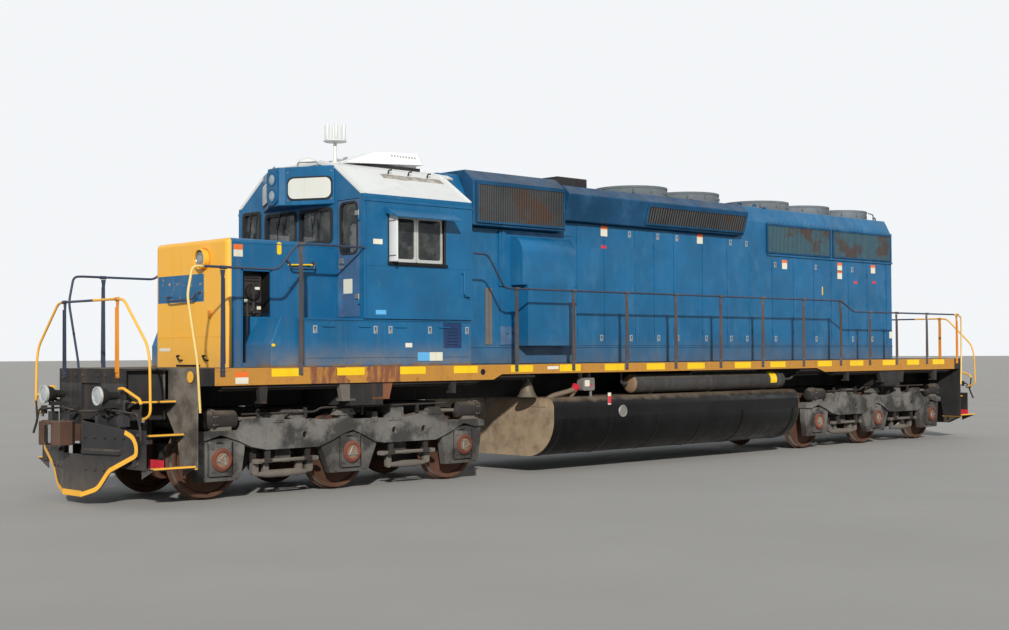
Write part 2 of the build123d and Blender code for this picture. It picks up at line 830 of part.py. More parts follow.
with BuildPart() as cab_shell:
    with BuildSketch(Plane.YZ.offset(cab_rear)):
        with BuildLine():
            Polyline(*mirrored([(cab_half, floor_z)] + wall_top), close=True)
        make_face()
    extrude(amount=cab_front - cab_rear)
    with BuildSketch(Plane.YZ.offset(cab_rear + cab_wall)):
        with BuildLine():
            Polyline(*mirrored([(cab_half - cab_wall, floor_z)] + cavity_top), close=True)
        make_face()
    extrude(amount=cab_front - cab_rear - 2 * cab_wall, mode=Mode.SUBTRACT)
    with BuildSketch(Plane.XZ):
        with Locations(((window_front + window_rear) / 2, (window_top + window_bottom) / 2)):
            Rectangle(window_front - window_rear, window_top - window_bottom)
    extrude(amount=cab_half + cut_over, both=True, mode=Mode.SUBTRACT)
    for wall, low, high, bottom, top in end_windows:
        with BuildSketch(Plane.YZ.offset(wall)):
            with Locations(((low + high) / 2, (bottom + top) / 2)):
                Rectangle(high - low, top - bottom)
        extrude(amount=cab_wall, both=True, mode=Mode.SUBTRACT)
    for wall, low, high in doorways:
        with BuildSketch(Plane.YZ.offset(wall)):
            with Locations(((low + high) / 2, (door_bottom + door_top) / 2)):
                Rectangle(high - low, door_top - door_bottom)
        extrude(amount=cab_wall, both=True, mode=Mode.SUBTRACT)
    # The wall's half of each hinge, under the door's half
    for wall, out, side in ((cab_front, 1, 1), (cab_rear, -1, -1)):
        for top in hinge_levels:
            with BuildSketch(Plane.XY.offset(top - hinge_length)):
                with Locations((wall + out * hinge_out, side * hinge_y)):
                    Circle(hinge_radius)
                with Locations((wall + out * hinge_out / 2, side * (hinge_y + hinge_ear / 2))):
                    Rectangle(hinge_out, hinge_ear)
            extrude(amount=hinge_length)
save(cab_shell.part, "cab_shell")

with BuildPart() as cab_roof:
    with BuildSketch(Plane.YZ.offset(cab_rear)):
        with BuildLine():
            Polyline(*mirrored(roof_line(0)), *reversed(mirrored(roof_line(roof_plate))), close=True)
        make_face()
    extrude(amount=cab_front - cab_rear)
save(cab_roof.part, "cab_roof")

# Panes in the cab's windows, two sashes at each side
with BuildPart() as cab_glass:
    sash = (window_front - window_rear) / 2
    glass_inset = 30
    for side in (1, -1):
        for place in (window_rear + sash / 2, window_front - sash / 2):
            with BuildSketch(Plane.XZ.offset(-side * (cab_half - glass_inset))):
                with Locations((place, (window_bottom + window_top) / 2)):
                    Rectangle(sash - 6, window_top - window_bottom)
            extrude(amount=side * pane)
    for wall, low, high, bottom, top in end_windows:
        inward = -1 if wall == cab_front else 1
        with BuildSketch(Plane.YZ.offset(wall + inward * glass_inset)):
            with Locations(((low + high) / 2, (bottom + top) / 2)):
                Rectangle(high - low, top - bottom)
        extrude(amount=pane)
save(cab_glass.part, "cab_glass")


# Cab doors: leaf with a window, hung on its outer edge
door_window_z = 3600
door_window_height = 700
door_stile = 55
door_recess = 10
door_pane_inset = 16
hinge_leaf = 40


def cab_door(wall, outward, side, name):
    low = min(side * (door_inner + door_gap), side * (door_outer - door_gap))
    width = door_outer - door_inner - 2 * door_gap
    window = (width - 2 * door_stile, door_window_height)
    face = wall - outward * door_recess
    with BuildPart() as leaf:
        with BuildSketch(Plane.YZ.offset(face)):
            with Locations((low + width / 2, (door_bottom + door_top) / 2)):
                Rectangle(width, door_top - door_bottom - 2 * door_gap)
            with Locations((low + width / 2, door_window_z)):
                Rectangle(*window, mode=Mode.SUBTRACT)
        extrude(amount=-outward * door_thick)
        with BuildSketch(Plane.YZ.offset(face - outward * door_pane_inset)):
            with Locations((low + width / 2, door_window_z)):
                Rectangle(*window)
        extrude(amount=-outward * pane)
        for bottom in hinge_levels:
            with BuildSketch(Plane.XY.offset(bottom + seat_gap)):
                with Locations((wall + outward * hinge_out, side * hinge_y)):
                    Circle(hinge_radius)
                with Locations(((wall + outward * hinge_out + face) / 2, side * (hinge_y - hinge_leaf / 2))):
                    Rectangle(hinge_out + door_recess, hinge_leaf)
            extrude(amount=hinge_length)
    save(leaf.part, name)


cab_door(cab_front, 1, 1, "cab_door_front")
cab_door(cab_rear, -1, -1, "cab_door_rear")


# Awnings over the side windows, and the wind deflectors ahead of them
awning_rear = 5160
awning_front = 6340
awning_reach = 270
# Awning section, columns: out from the wall, above the window
awning_section = [(0, 100), (0, 80), (awning_reach, -55), (awning_reach, -40)]
deflector_reach = 180
deflector_thick = 20
with BuildPart() as awnings:
    for side in (1, -1):
        with BuildSketch(Plane.YZ.offset(awning_rear)):
            with BuildLine():
                section = [(side * (cab_half + out), window_top + up) for out, up in awning_section]
                Polyline(*section, close=True)
            make_face()
        extrude(amount=awning_front - awning_rear)
        with BuildSketch(Plane.XY.offset(window_bottom)):
            with Locations((window_front + deflector_thick / 2, side * (cab_half + deflector_reach / 2))):
                Rectangle(deflector_thick, deflector_reach)
        extrude(amount=window_top - window_bottom)
save(awnings.part, "window_awnings")


# Crew seats on their posts
seat_x = 5560
seat_y = cab_half - 450
seat_post_radius = 60
seat_post_height = 400
cushion_size = 480
cushion_thick = 110
back_thick = 90
back_height = 620
back_overhang = 5
back_narrower = 20
with BuildPart() as seats:
    for side in (1, -1):
        with BuildSketch(Plane.XY.offset(floor_z)):
            with Locations((seat_x, side * seat_y)):
                Circle(seat_post_radius)
        extrude(amount=seat_post_height)
        with BuildSketch(Plane.XY.offset(floor_z + seat_post_height)):
            with Locations((seat_x, side * seat_y)):
                Rectangle(cushion_size, cushion_size)
        extrude(amount=cushion_thick)
        with BuildSketch(Plane.XY.offset(floor_z + seat_post_height + cushion_thick)):
            with Locations((seat_x - (cushion_size - back_thick) / 2 - back_overhang, side * seat_y)):
                Rectangle(back_thick, cushion_size - back_narrower)
        extrude(amount=back_height)
save(seats.part, "crew_seats")

# Control stand at the right front of the cab, columns: place across, height
stand_outline = [(-820, floor_z), (-360, floor_z), (-360, 3330), (-620, 3330), (-820, 3120)]
stand_rear = 5900
stand_front = 6420
with BuildPart() as control_stand:
    with BuildSketch(Plane.YZ.offset(stand_rear)):
        with BuildLine():
            Polyline(*stand_outline, close=True)
        make_face()
    extrude(amount=stand_front - stand_rear)
save(control_stand.part, "control_stand")


# Number board housing over the windshields, with angled faces for blank boards
housing_nose_half = 140
housing_corner = 60
with BuildPart() as number_housing:
    with BuildSketch(Plane.XY.offset(housing_bottom)):
        with BuildLine():
            Polyline(
                (cab_front, knee_half),
                (housing_front - housing_corner, housing_nose_half + housing_corner),
                (housing_front, housing_nose_half),
                (housing_front, -housing_nose_half),
                (housing_front - housing_corner, -housing_nose_half - housing_corner),
                (cab_front, -knee_half),
                close=True,
            )
        make_face()
    extrude(amount=knee_z - housing_bottom)
save(number_housing.part, "number_housing")


# Lamps: twin headlamps at both ends, ditch lamps on the deck ends, short hood lamp
# Columns: seat, place across, height, way it shines, radius, depth
lamp_rows = [
    (housing_front, 0, 4106, 1, 95, 40),
    (housing_front, 0, 4335, 1, 95, 40),
    (hood_rear, 0, 4106, -1, 95, 40),
    (hood_rear, 0, 4335, -1, 95, 40),
    (nose_front, 330, 3146, 1, 125, 25),
    (body_end, 750, 1375, 1, 140, 300),
    (body_end, -750, 1375, 1, 140, 300),
    (-body_end, 750, 1375, -1, 140, 300),
    (-body_end, -750, 1375, -1, 140, 300),
]
with BuildPart() as lamps:
    for seat, y, z, way, radius, depth in lamp_rows:
        with BuildSketch(Plane(origin=(seat, y, z), z_dir=(way, 0, 0))):
            Circle(radius)
        extrude(amount=depth)
save(lamps.part, "lamps")


# Roof air conditioner: a low base under a wedge-shaped cover
unit_half = 500
unit_base_rear = 4840
unit_base_front = 5950
unit_base_height = 110
unit_base_half = 430
# Cover from the side, columns: place, height
unit_cover = [(4750, 4695), (4850, 4870), (5660, 4825), (6175, 4640), (6165, 4615)]
with BuildPart() as air_conditioner:
    with BuildSketch(Plane.XY.offset(ridge_z)):
        with Locations(((unit_base_rear + unit_base_front) / 2, 0)):
            Rectangle(unit_base_front - unit_base_rear, 2 * unit_base_half)
    extrude(amount=unit_base_height)
    with BuildSketch(Plane.XZ.offset(-unit_half)):
        with BuildLine():
            Polyline(*unit_cover, close=True)
        make_face()
    extrude(amount=2 * unit_half)
save(air_conditioner.part, "air_conditioner")

# Antenna array: a mast with a ring of whips round its hub
antenna_x = 6350
antenna_y = 420
hub_z = 4900
hub_radius = 165
hub_thick = 30
whip_circle = 135
whip_radius = 26
whip_height = 220
mast_radius = 24
with BuildPart() as antennas:
    with BuildSketch(Plane.XY.offset(ridge_z)):
        with Locations((antenna_x, antenna_y)):
            Circle(mast_radius)
    extrude(amount=hub_z - ridge_z)
    with BuildSketch(Plane.XY.offset(hub_z)):
        with Locations((antenna_x, antenna_y)):
            Circle(hub_radius)
    extrude(amount=hub_thick)
    with BuildSketch(Plane.XY.offset(hub_z + hub_thick)):
        with Locations((antenna_x, antenna_y)):
            with PolarLocations(whip_circle, 6):
                Circle(whip_radius)
    extrude(amount=whip_height)
save(antennas.part, "antenna_array")


# Filter compartment behind the cab, with a sloped rear
filter_top_half = 880
filter_outline = [(filter_half, filter_bottom), (filter_half, filter_edge_z), (filter_top_half, filter_top)]
with BuildPart() as filter_compartment:
    with BuildSketch(Plane.YZ.offset(filter_rear)):
        with BuildLine():
            Polyline(*mirrored(filter_outline), close=True)
        make_face()
    extrude(amount=filter_front - filter_rear)
save(filter_compartment.part, "filter_compartment")


# Grilles: a backing plate with upright slats, which leans where its wall does
cheek_lean = (hatch_half - hatch_foot_half) / (hatch_edge_z - hatch_bottom)
brake_grille_bottom = 4020
# Columns: name, spans from rear to front, half width at the foot, bottom, top, lean outward per height
grille_rows = [
    ("filter_grilles", [(filter_rear + 40, filter_front - 50)], filter_half, 3830, 4440, 0),
    (
        "brake_grilles",
        [(hatch_rear + 40, 370)],
        hatch_foot_half + (brake_grille_bottom - hatch_bottom) * cheek_lean,
        brake_grille_bottom,
        4350,
        cheek_lean,
    ),
    ("radiator_grilles", [(-5330, -3240), (-7530, -5420)], hood_half, 3710, 4260, 0),
]
slat_pitch = 130
slat_width = 40
slat_depth = 22
backing = 8
for name, spans, foot_half, bottom, top, lean in grille_rows:
    slope_length = (top - bottom) * sqrt(1 + lean * lean)
    with BuildPart() as grilles:
        for side in (1, -1):
            wall = Plane(origin=(0, side * foot_half, bottom), x_dir=(1, 0, 0), z_dir=(0, -1, side * lean))
            for rear, front in spans:
                count = int((front - rear) / slat_pitch)
                middle = ((rear + front) / 2, slope_length / 2)
                with BuildSketch(wall):
                    with Locations(middle):
                        Rectangle(front - rear, slope_length)
                extrude(amount=-side * backing)
                with BuildSketch(wall.offset(-side * backing)):
                    with Locations(middle):
                        with GridLocations(slat_pitch, 0, count, 1):
                            Rectangle(slat_width, slope_length)
                extrude(amount=-side * slat_depth)
    save(grilles.part, name)


# Blower duct on the left of the hood, behind the cab: a deep casing with a round top over a shorter one
duct_rear = 2190
duct_upper_front = 3380
duct_lower_front = 3270
duct_half = 1200
duct_bottom = 1985
duct_step_z = 2920
duct_round = duct_half - hood_half
duct_top = 3680
with BuildPart() as blower_duct:
    with BuildSketch(Plane.YZ.offset(duct_rear)):
        with BuildLine():
            Polyline((hood_half, duct_top), (hood_half, duct_step_z), (duct_half, duct_step_z),
                     (duct_half, duct_top - duct_round))
            RadiusArc((duct_half, duct_top - duct_round), (hood_half, duct_top), -duct_round)
        make_face()
    extrude(amount=duct_upper_front - duct_rear)
    with BuildSketch(Plane.YZ.offset(duct_rear)):
        with Locations(((hood_half + duct_half) / 2, (duct_bottom + duct_step_z) / 2)):
            Rectangle(duct_half - hood_half, duct_step_z - duct_bottom)
    extrude(amount=duct_lower_front - duct_rear)
save(blower_duct.part, "blower_duct")


# Engine room doors: panels on both sides of the hood
# Rows, columns: edges of the doors from front to rear, top of the row
door_rows = [
    ([1900, 1250, 480, -10, -530, -1325, -2035, -2700], 3930),
    ([-2760, -3400, -4080, -4750, -5350, -5954, -6635, -7300], 3640),
]
panel_bottom = 1985
panel_thick = 8
panel_gap = 16
with BuildPart() as hood_doors:
    for side in (1, -1):
        for edges, top in door_rows:
            for front, rear in zip(edges, edges[1:]):
                with BuildSketch(Plane.XZ.offset(-side * hood_half)):
                    with Locations(((front + rear) / 2, (panel_bottom + top) / 2)):
                        Rectangle(front - rear - panel_gap, top - panel_bottom)
                extrude(amount=-side * panel_thick)
save(hood_doors.part, "hood_doors")


# Long hood: walls and roof round the engine room, in three heights
# Hood lengths, columns: rear end, front end, outline above the deck
filter_section = [(hood_half, deck_top), (hood_half, filter_bottom)]
brake_section = [(hood_half, deck_top), (hood_half, hatch_bottom)]
full_section = [(hood_half, deck_top), (hood_half, hood_shoulder_z), (hood_shoulder_half, hood_top)]
cavity_half = hood_half - hood_wall
cavity_section = [(cavity_half, deck_top), (cavity_half, filter_bottom - hood_wall)]
hood_lengths = [
    (filter_front, cab_rear, full_section),
    (filter_rear, filter_front, filter_section),
    (hatch_front, filter_rear, full_section),
    (hatch_rear, hatch_front, brake_section),
    (hood_rear, hatch_rear, full_section),
]
with BuildPart() as long_hood:
    for rear, front, section in hood_lengths:
        with BuildSketch(Plane.YZ.offset(rear)):
            with BuildLine():
                Polyline(*mirrored(section), close=True)
            make_face()
        extrude(amount=front - rear)
    with BuildSketch(Plane.YZ.offset(hood_rear + hood_wall)):
        with BuildLine():
            Polyline(*mirrored(cavity_section), close=True)
        make_face()
    extrude(amount=cab_rear - hood_rear - 2 * hood_wall, mode=Mode.SUBTRACT)
save(long_hood.part, "long_hood")


# Dynamic brake hatch on top of the hood
hatch_shoulder = (150, 140)
hatch_outline = [
    (hatch_foot_half, hatch_bottom),
    (hatch_half, hatch_edge_z),
    (hatch_half - hatch_shoulder[0], hatch_edge_z + hatch_shoulder[1]),
    (hood_shoulder_half, hatch_top),
]
with BuildPart() as brake_hatch:
    with BuildSketch(Plane.YZ.offset(hatch_rear)):
        with BuildLine():
            Polyline(*mirrored(hatch_outline), close=True)
        make_face()
    extrude(amount=hatch_front - hatch_rear)
save(brake_hatch.part, "brake_hatch")

# Exhaust stack: an open box on the hatch
stack_rear = 850
stack_front = 1570
stack_half = 190
stack_height = 245
stack_wall = 15
stack_floor = 40
with BuildPart() as exhaust_stack:
    with BuildSketch(Plane.XY.offset(hatch_top)):
        with Locations(((stack_rear + stack_front) / 2, 0)):
            Rectangle(stack_front - stack_rear, 2 * stack_half)
    extrude(amount=stack_height)
    with BuildSketch(Plane.XY.offset(hatch_top + stack_floor)):
        with Locations(((stack_rear + stack_front) / 2, 0)):
            Rectangle(stack_front - stack_rear - 2 * stack_wall, 2 * (stack_half - stack_wall))
    extrude(amount=stack_height - stack_floor, mode=Mode.SUBTRACT)
save(exhaust_stack.part, "exhaust_stack")


# Engine with its generator: one plain block on the deck
engine_rear = -2600
engine_front = 1600
generator_front = 3100
generator_size = 1240
generator_z = 2400
# Engine section, columns: half width, height
engine_section = [(480, deck_top), (520, 2600), (800, 3250), (560, 3650)]
with BuildPart() as engine:
    with BuildSketch(Plane.YZ.offset(engine_rear)):
        with BuildLine():
            Polyline(*mirrored(engine_section), close=True)
        make_face()
    extrude(amount=engine_front - engine_rear)
    with BuildSketch(Plane.YZ.offset(engine_front)):
        with Locations((0, generator_z)):
            Rectangle(generator_size, generator_size)
    extrude(amount=generator_front - engine_front)
save(engine.part, "engine")


# Roof fans in their rings, columns: place, roof height
fans = [(-500, hatch_top), (-1980, hatch_top), (-4170, hood_top), (-5560, hood_top), (-6950, hood_top)]
fan_pedestal = 60
fan_foot = 160
with BuildPart() as fan_rings:
    for x, roof in fans:
        with BuildSketch(Plane.XY.offset(roof)):
            with Locations((x, 0)):
                Circle(fan_ring_radius)
                Circle(fan_ring_radius - fan_ring_wall, mode=Mode.SUBTRACT)
                Rectangle(fan_foot, fan_foot)
        extrude(amount=fan_pedestal)
        with BuildSketch(Plane.XY.offset(roof + fan_pedestal)):
            with Locations((x, 0)):
                Circle(fan_ring_radius)
                Circle(fan_ring_radius - fan_ring_wall, mode=Mode.SUBTRACT)
        extrude(amount=fan_ring_height - fan_pedestal)
save(fan_rings.part, "fan_rings")

blade_count = 8
blade_thick = 14
blade_width = 110
blade_pitch = 60
hub_height = 90
blade_z = 50
blade_root = fan_hub_radius - 40
for number, (x, roof) in enumerate(fans, start=1):
    with BuildPart() as fan:
        with BuildSketch(Plane.XY.offset(roof + fan_pedestal + seat_gap)):
            with Locations((x, 0)):
                RegularPolygon(fan_hub_radius, blade_count)
        extrude(amount=hub_height)
        for blade in range(blade_count):
            angle = blade * 360 / blade_count
            outward = (cos(radians(angle)), sin(radians(angle)), 0)
            hub = Plane(origin=(x, 0, roof + fan_pedestal + blade_z), z_dir=outward)
            with BuildSketch(hub.offset(blade_root)):
                Rectangle(blade_thick, blade_width, rotation=blade_pitch)
            extrude(amount=fan_blade_radius - blade_root)
    save(fan.part, f"fan_{number}")


# Handrails: flat stanchions on the sill with a tube along their tops
# Left side stanchions, columns: place, top
stanchions = [
    (8920, 2960), (7740, 3310), (3835, 2830), (2610, 2830), (1370, 2830), (140, 2830), (-1070, 2830),
    (-2280, 2830), (-3540, 2830), (-4760, 2830), (-5770, 2630), (-6750, 2630), (-7910, 2630), (-9130, 2630),
]
rail_front = [(9250, 1160), (9290, 1790), (9430, 2600), (9330, 2960), (8100, 2960), (7800, 3310), (6700, 3310)]
rail_rear = [
    (4700, 3320), (4430, 3320), (4100, 2850), (4000, 2830), (-4760, 2830), (-5200, 2630), (-9130, 2630),
    (-9300, 2600), (-9290, 1790), (-9250, 1160),
]


def tube(plane, points):
    with BuildPart() as bar:
        with BuildLine(plane) as path:
            Polyline(*points)
        with BuildSketch(Plane(origin=path.line @ 0, z_dir=path.line % 0)):
            RegularPolygon(rail_radius, rail_sides)
        sweep(path=path.line, transition=Transition.RIGHT)
    return bar.part


for side, name in ((1, "handrail_left"), (-1, "handrail_right")):
    with BuildPart() as handrail:
        for x, top in stanchions:
            with BuildSketch(Plane.XY.offset(stanchion_foot_z)):
                with Locations((x, side * (deck_half + stanchion_thick / 2))):
                    Rectangle(stanchion_width, stanchion_thick)
            extrude(amount=top - stanchion_foot_z)
        rail_plane = Plane(origin=(0, side * rail_y, 0), x_dir=(1, 0, 0), z_dir=(0, -1, 0))
        add(tube(rail_plane, rail_front))
        add(tube(rail_plane, rail_rear))
    save(handrail.part, name)

# End rails: posts on the ends of the deck, a rail across, and corner rails down past the steps
end_post_y = 700
end_post_foot = 120
end_post_thick = 28
end_post_width = 60
end_rail_z = 2570
with BuildPart() as end_rails:
    for end in (1, -1):
        x = end * (body_end + end_post_thick / 2)
        for y in (end_post_y, -end_post_y):
            with BuildSketch(Plane.XY.offset(deck_top - end_post_foot)):
                with Locations((x, y)):
                    Rectangle(end_post_thick, end_post_width)
            extrude(amount=end_rail_z - deck_top + end_post_foot)
        across = Plane(origin=(x, 0, 0), x_dir=(0, 1, 0), z_dir=(1, 0, 0))
        add(tube(across, [(-end_post_y, end_rail_z), (end_post_y, end_rail_z)]))
        for side in (1, -1):
            corner = [
                (end_post_y, end_rail_z),
                (870, end_rail_z - 10),
                (deck_half - 84, 2000),
                (deck_half - 24, 1800),
                (deck_half - 4, 1150),
                (deck_half - 194, 1090),
            ]
            add(tube(across, [(side * y, z) for y, z in corner]))
save(end_rails.part, "end_rails")
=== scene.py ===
import math

import bmesh
import bpy
from mathutils import Matrix, Vector


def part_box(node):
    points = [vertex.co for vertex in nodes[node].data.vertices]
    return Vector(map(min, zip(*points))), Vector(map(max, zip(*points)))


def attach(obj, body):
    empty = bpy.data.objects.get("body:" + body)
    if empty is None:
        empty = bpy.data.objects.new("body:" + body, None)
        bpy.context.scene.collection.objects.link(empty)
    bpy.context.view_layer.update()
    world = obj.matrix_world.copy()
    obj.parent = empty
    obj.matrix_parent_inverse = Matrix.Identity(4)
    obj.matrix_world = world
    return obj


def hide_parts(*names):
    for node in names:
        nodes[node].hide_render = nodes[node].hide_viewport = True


# Looks of a six-axle diesel road locomotive, in metres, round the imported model
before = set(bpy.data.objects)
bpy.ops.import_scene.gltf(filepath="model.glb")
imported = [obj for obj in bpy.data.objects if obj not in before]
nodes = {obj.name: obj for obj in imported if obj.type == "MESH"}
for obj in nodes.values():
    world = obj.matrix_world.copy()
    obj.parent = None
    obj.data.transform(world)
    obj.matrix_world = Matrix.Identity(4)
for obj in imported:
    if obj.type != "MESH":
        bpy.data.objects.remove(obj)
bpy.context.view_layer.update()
BODY = "carbody"

# Places taken from the frame
BODY_END, SIDE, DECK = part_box("underframe")[1]
HOOD_REAR, HOOD_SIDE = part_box("long_hood")[0].x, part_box("long_hood")[1].y
NOSE_FRONT, NOSE_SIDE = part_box("short_hood")[1].xy
CAB_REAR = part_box("cab_roof")[0].x
CAB_FRONT, CAB_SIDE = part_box("cab_roof")[1].xy
BATTERY_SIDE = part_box("battery_boxes")[1].y
BEAM_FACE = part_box("truck_frame_front")[1].y
COVER_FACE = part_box("journal_boxes_front")[1].y

# Places that the frame doesn't name
STEP_X = 9.28
SILL_YELLOW_END = 9.03
RADIATOR_FRONT = -3.2
EAVE = 4.05
KNEE = (0.88, 4.50)
RIDGE = 4.59
AXLE_Z = 0.536
TRUCK_X = 6.63
AXLE_PITCH = 2.07
AXLES = (AXLE_PITCH, 0.0, -AXLE_PITCH)
BAND = {"low": 2.58, "high": 2.95, "left": 0.34, "right": -0.84}
NICHE = {"rear": 7.765, "front": 8.225, "top": 2.98}

# Screen colours from 0 to 255
DUST = (132, 118, 102)
RUST = (112, 62, 38)
CHALK = (86, 138, 172)
SILL_TAN = (180, 130, 58)
NOSE_YELLOW = (236, 176, 62)
BODY_BLUE = (18, 92, 136)
COAT_ROUGHNESS = 0.4


def tint(red, green, blue):
    """Screen colour, as the linear colour that a shader takes."""
    def linear(value):
        share = value / 255
        return share / 12.92 if share <= 0.04045 else ((share + 0.055) / 1.055) ** 2.4
    return (linear(red), linear(green), linear(blue), 1.0)


class Tree:
    """Short calls for one material's node tree."""

    def __init__(self, name):
        self.material = bpy.data.materials.new(name)
        self.material.use_nodes = True
        self.nodes = self.material.node_tree.nodes
        self.links = self.material.node_tree.links
        self.place = self.nodes.new("ShaderNodeTexCoord").outputs["Object"]

    def put(self, value, socket):
        """Links an output to a socket, or sets the socket's number or colour."""
        if isinstance(value, bpy.types.NodeSocket):
            self.links.new(value, socket)
        else:
            socket.default_value = value

    def feed(self, sockets, values):
        """Puts values into sockets, by names with _ for each space."""
        for key, value in values.items():
            self.put(value, sockets[key.replace("_", " ")])

    def node(self, kind, **values):
        made = self.nodes.new("ShaderNode" + kind)
        self.feed(made.inputs, values)
        return made

    def shade(self, **values):
        self.feed(self.nodes["Principled BSDF"].inputs, values)

    def noise(self, scale, detail, rough=0.55, stretch=None):
        """Noise from 0 to 1 over the object, stretched where stretch gives three factors."""
        place = self.place
        if stretch:
            place = self.node("Mapping", Vector=place, Scale=stretch).outputs["Vector"]
        made = self.node("TexNoise", Vector=place, Scale=scale, Detail=detail, Roughness=rough)
        return made.outputs["Fac"]

    def span(self, value, low, high, to_low=0.0, to_high=1.0):
        """Value from low to high, mapped to another range with smooth ends."""
        made = self.node("MapRange", Value=value, From_Min=low, From_Max=high, To_Min=to_low,
                         To_Max=to_high)
        made.interpolation_type = "SMOOTHSTEP"
        return made.outputs["Result"]

    def spots(self, noise, low, high, to_low=0.0, to_high=1.0):
        """Noise with its settings in a row, mapped to a range."""
        return self.span(self.noise(*noise), low, high, to_low, to_high)

    def math(self, operation, a, b=0.0, clamp=False):
        made = self.nodes.new("ShaderNodeMath")
        made.operation = operation
        made.use_clamp = clamp
        for value, socket in zip((a, b), made.inputs):
            self.put(value, socket)
        return made.outputs[0]

    def plus(self, a, b, clamp=False):
        return self.math("ADD", a, b, clamp)

    def times(self, *factors):
        out = factors[0]
        for factor in factors[1:]:
            out = self.math("MULTIPLY", out, factor)
        return out

    def above(self, value, level):
        return self.math("GREATER_THAN", value, level)

    def below(self, value, level):
        return self.math("LESS_THAN", value, level)

    def inside(self, value, low, high):
        return self.times(self.above(value, low), self.below(value, high))

    def mix(self, share, a, b):
        """Blend of two colours: a socket, a linear colour, or a screen colour of three numbers."""
        made = self.nodes.new("ShaderNodeMix")
        made.data_type = "RGBA"
        a, b = (tint(*c) if isinstance(c, tuple) and len(c) == 3 else c for c in (a, b))
        self.feed(made.inputs, {"Factor": share, "A": a, "B": b})
        return made.outputs["Result"]

    def axis(self, which):
        return self.node("SeparateXYZ", Vector=self.place).outputs[which]

    def size_of(self, which):
        return self.math("ABSOLUTE", self.axis(which))

    def upward(self):
        """1 on faces that look up, 0 on walls."""
        normal = self.nodes.new("ShaderNodeNewGeometry").outputs["Normal"]
        return self.span(self.node("SeparateXYZ", Vector=normal).outputs["Z"], 0.35, 0.95)

    def bump(self, height, strength, distance, **under):
        made = self.node("Bump", Height=height, Strength=strength, Distance=distance, **under)
        return made.outputs["Normal"]


RUN_DOWN = (1.0, 1.0, 0.07)


def weathered(name, colour, rough, shade, grain, paint=None, metal=0.0, chalk=0.0, streaks=0.0, stain=DUST,
              dust=None, lying=0.0, rust=0.0, fine=90.0, dents=0.0, coat=0.0, shine=0.3):
    """A painted or cast surface with tone changes, run-down streaks, dust and rust.
    dust gives its share and the heights from which to which it fades, lying the share on level faces."""
    tree = Tree(name)
    base = tint(*colour)[:3]
    darker = tuple(c * (1 - shade) for c in base) + (1.0,)
    lighter = tuple(min(1.0, c * (1 + shade) + 0.01 * shade) for c in base) + (1.0,)
    out = tree.mix(tree.spots((1.1, 6.0, 0.62), 0.3, 0.7), darker, lighter)
    if paint:
        out = paint(tree, out)
    if chalk:
        faded = tree.spots((2.3, 8.0, 0.7, (1.0, 1.0, 0.45)), 0.5, 0.72)
        out = tree.mix(tree.times(faded, chalk), out, CHALK)
    if streaks:
        out = tree.mix(tree.times(tree.spots((6.0, 5.0, 0.6, RUN_DOWN), 0.5, 0.78), streaks), out, stain)
    if rust:
        out = tree.mix(tree.times(tree.spots((7.0, 9.0, 0.68), 0.56, 0.68), rust), out, RUST)
    if dust:
        low = tree.span(tree.axis("Z"), dust[1], dust[2], 1.0, 0.0)
        broken = tree.spots((3.5, 7.0, 0.66), 0.25, 0.7, 0.35, 1.0)
        out = tree.mix(tree.times(low, broken, dust[0]), out, DUST)
    if lying:
        patches = tree.spots((5.0, 6.0), 0.3, 0.65, 0.4, 1.0)
        out = tree.mix(tree.times(tree.upward(), patches, lying), out, DUST)
    normal = tree.bump(tree.noise(fine, 3.0), grain, 0.002)
    if dents:
        normal = tree.bump(tree.noise(1.6, 1.0), dents, 0.02, Normal=normal)
    roughness = tree.spots((4.0, 5.0), 0.3, 0.7, max(0.05, rough - 0.12), min(1.0, rough + 0.14))
    tree.shade(Base_Color=out, Roughness=roughness, Metallic=metal, Normal=normal, Coat_Weight=coat,
               Coat_Roughness=COAT_ROUGHNESS, Specular_IOR_Level=shine)
    return tree.material


def glass(name, colour, rough=0.04, alpha=0.45):
    """Dark glossy window glass, part see-through and dusty."""
    tree = Tree(name)
    dirt = tree.spots((4.0, 6.0, 0.65), 0.4, 0.75)
    tree.shade(Base_Color=tree.mix(tree.times(dirt, 0.35), colour, (150, 150, 140)),
               Roughness=tree.span(dirt, 0.0, 1.0, rough, 0.3),
               Alpha=tree.span(dirt, 0.0, 1.0, alpha, min(1.0, alpha + 0.25)),
               Normal=tree.bump(tree.noise(2.0, 1.0), 0.05, 0.01))
    return tree.material


# Painted areas on one solid

def nose_paint(tree, out):
    """Yellow front of the short hood, with a blue band across it, and painted shade in the niche of the
    hand brake.
    """
    along, across, height = tree.axis("X"), tree.axis("Y"), tree.axis("Z")
    front = tree.above(along, NOSE_FRONT - 0.06)
    # Painted shade in the niche: near black above 2.42 m, dark navy below
    niche_shade = tree.times(tree.inside(along, NICHE["rear"], NICHE["front"]), tree.below(height, NICHE["top"]),
                        tree.below(tree.size_of("Y"), NOSE_SIDE - 0.004))
    out = tree.mix(niche_shade, out, tree.mix(tree.above(height, 2.42), (20, 44, 66), (26, 27, 30)))
    out = tree.mix(front, out, NOSE_YELLOW)
    band = tree.times(tree.inside(height, BAND["low"], BAND["high"]),
                      tree.inside(across, BAND["right"], BAND["left"]))
    worn = tree.spots((9.0, 8.0, 0.7), 0.3, 0.42)
    return tree.mix(tree.times(band, front, worn), out, BODY_BLUE)


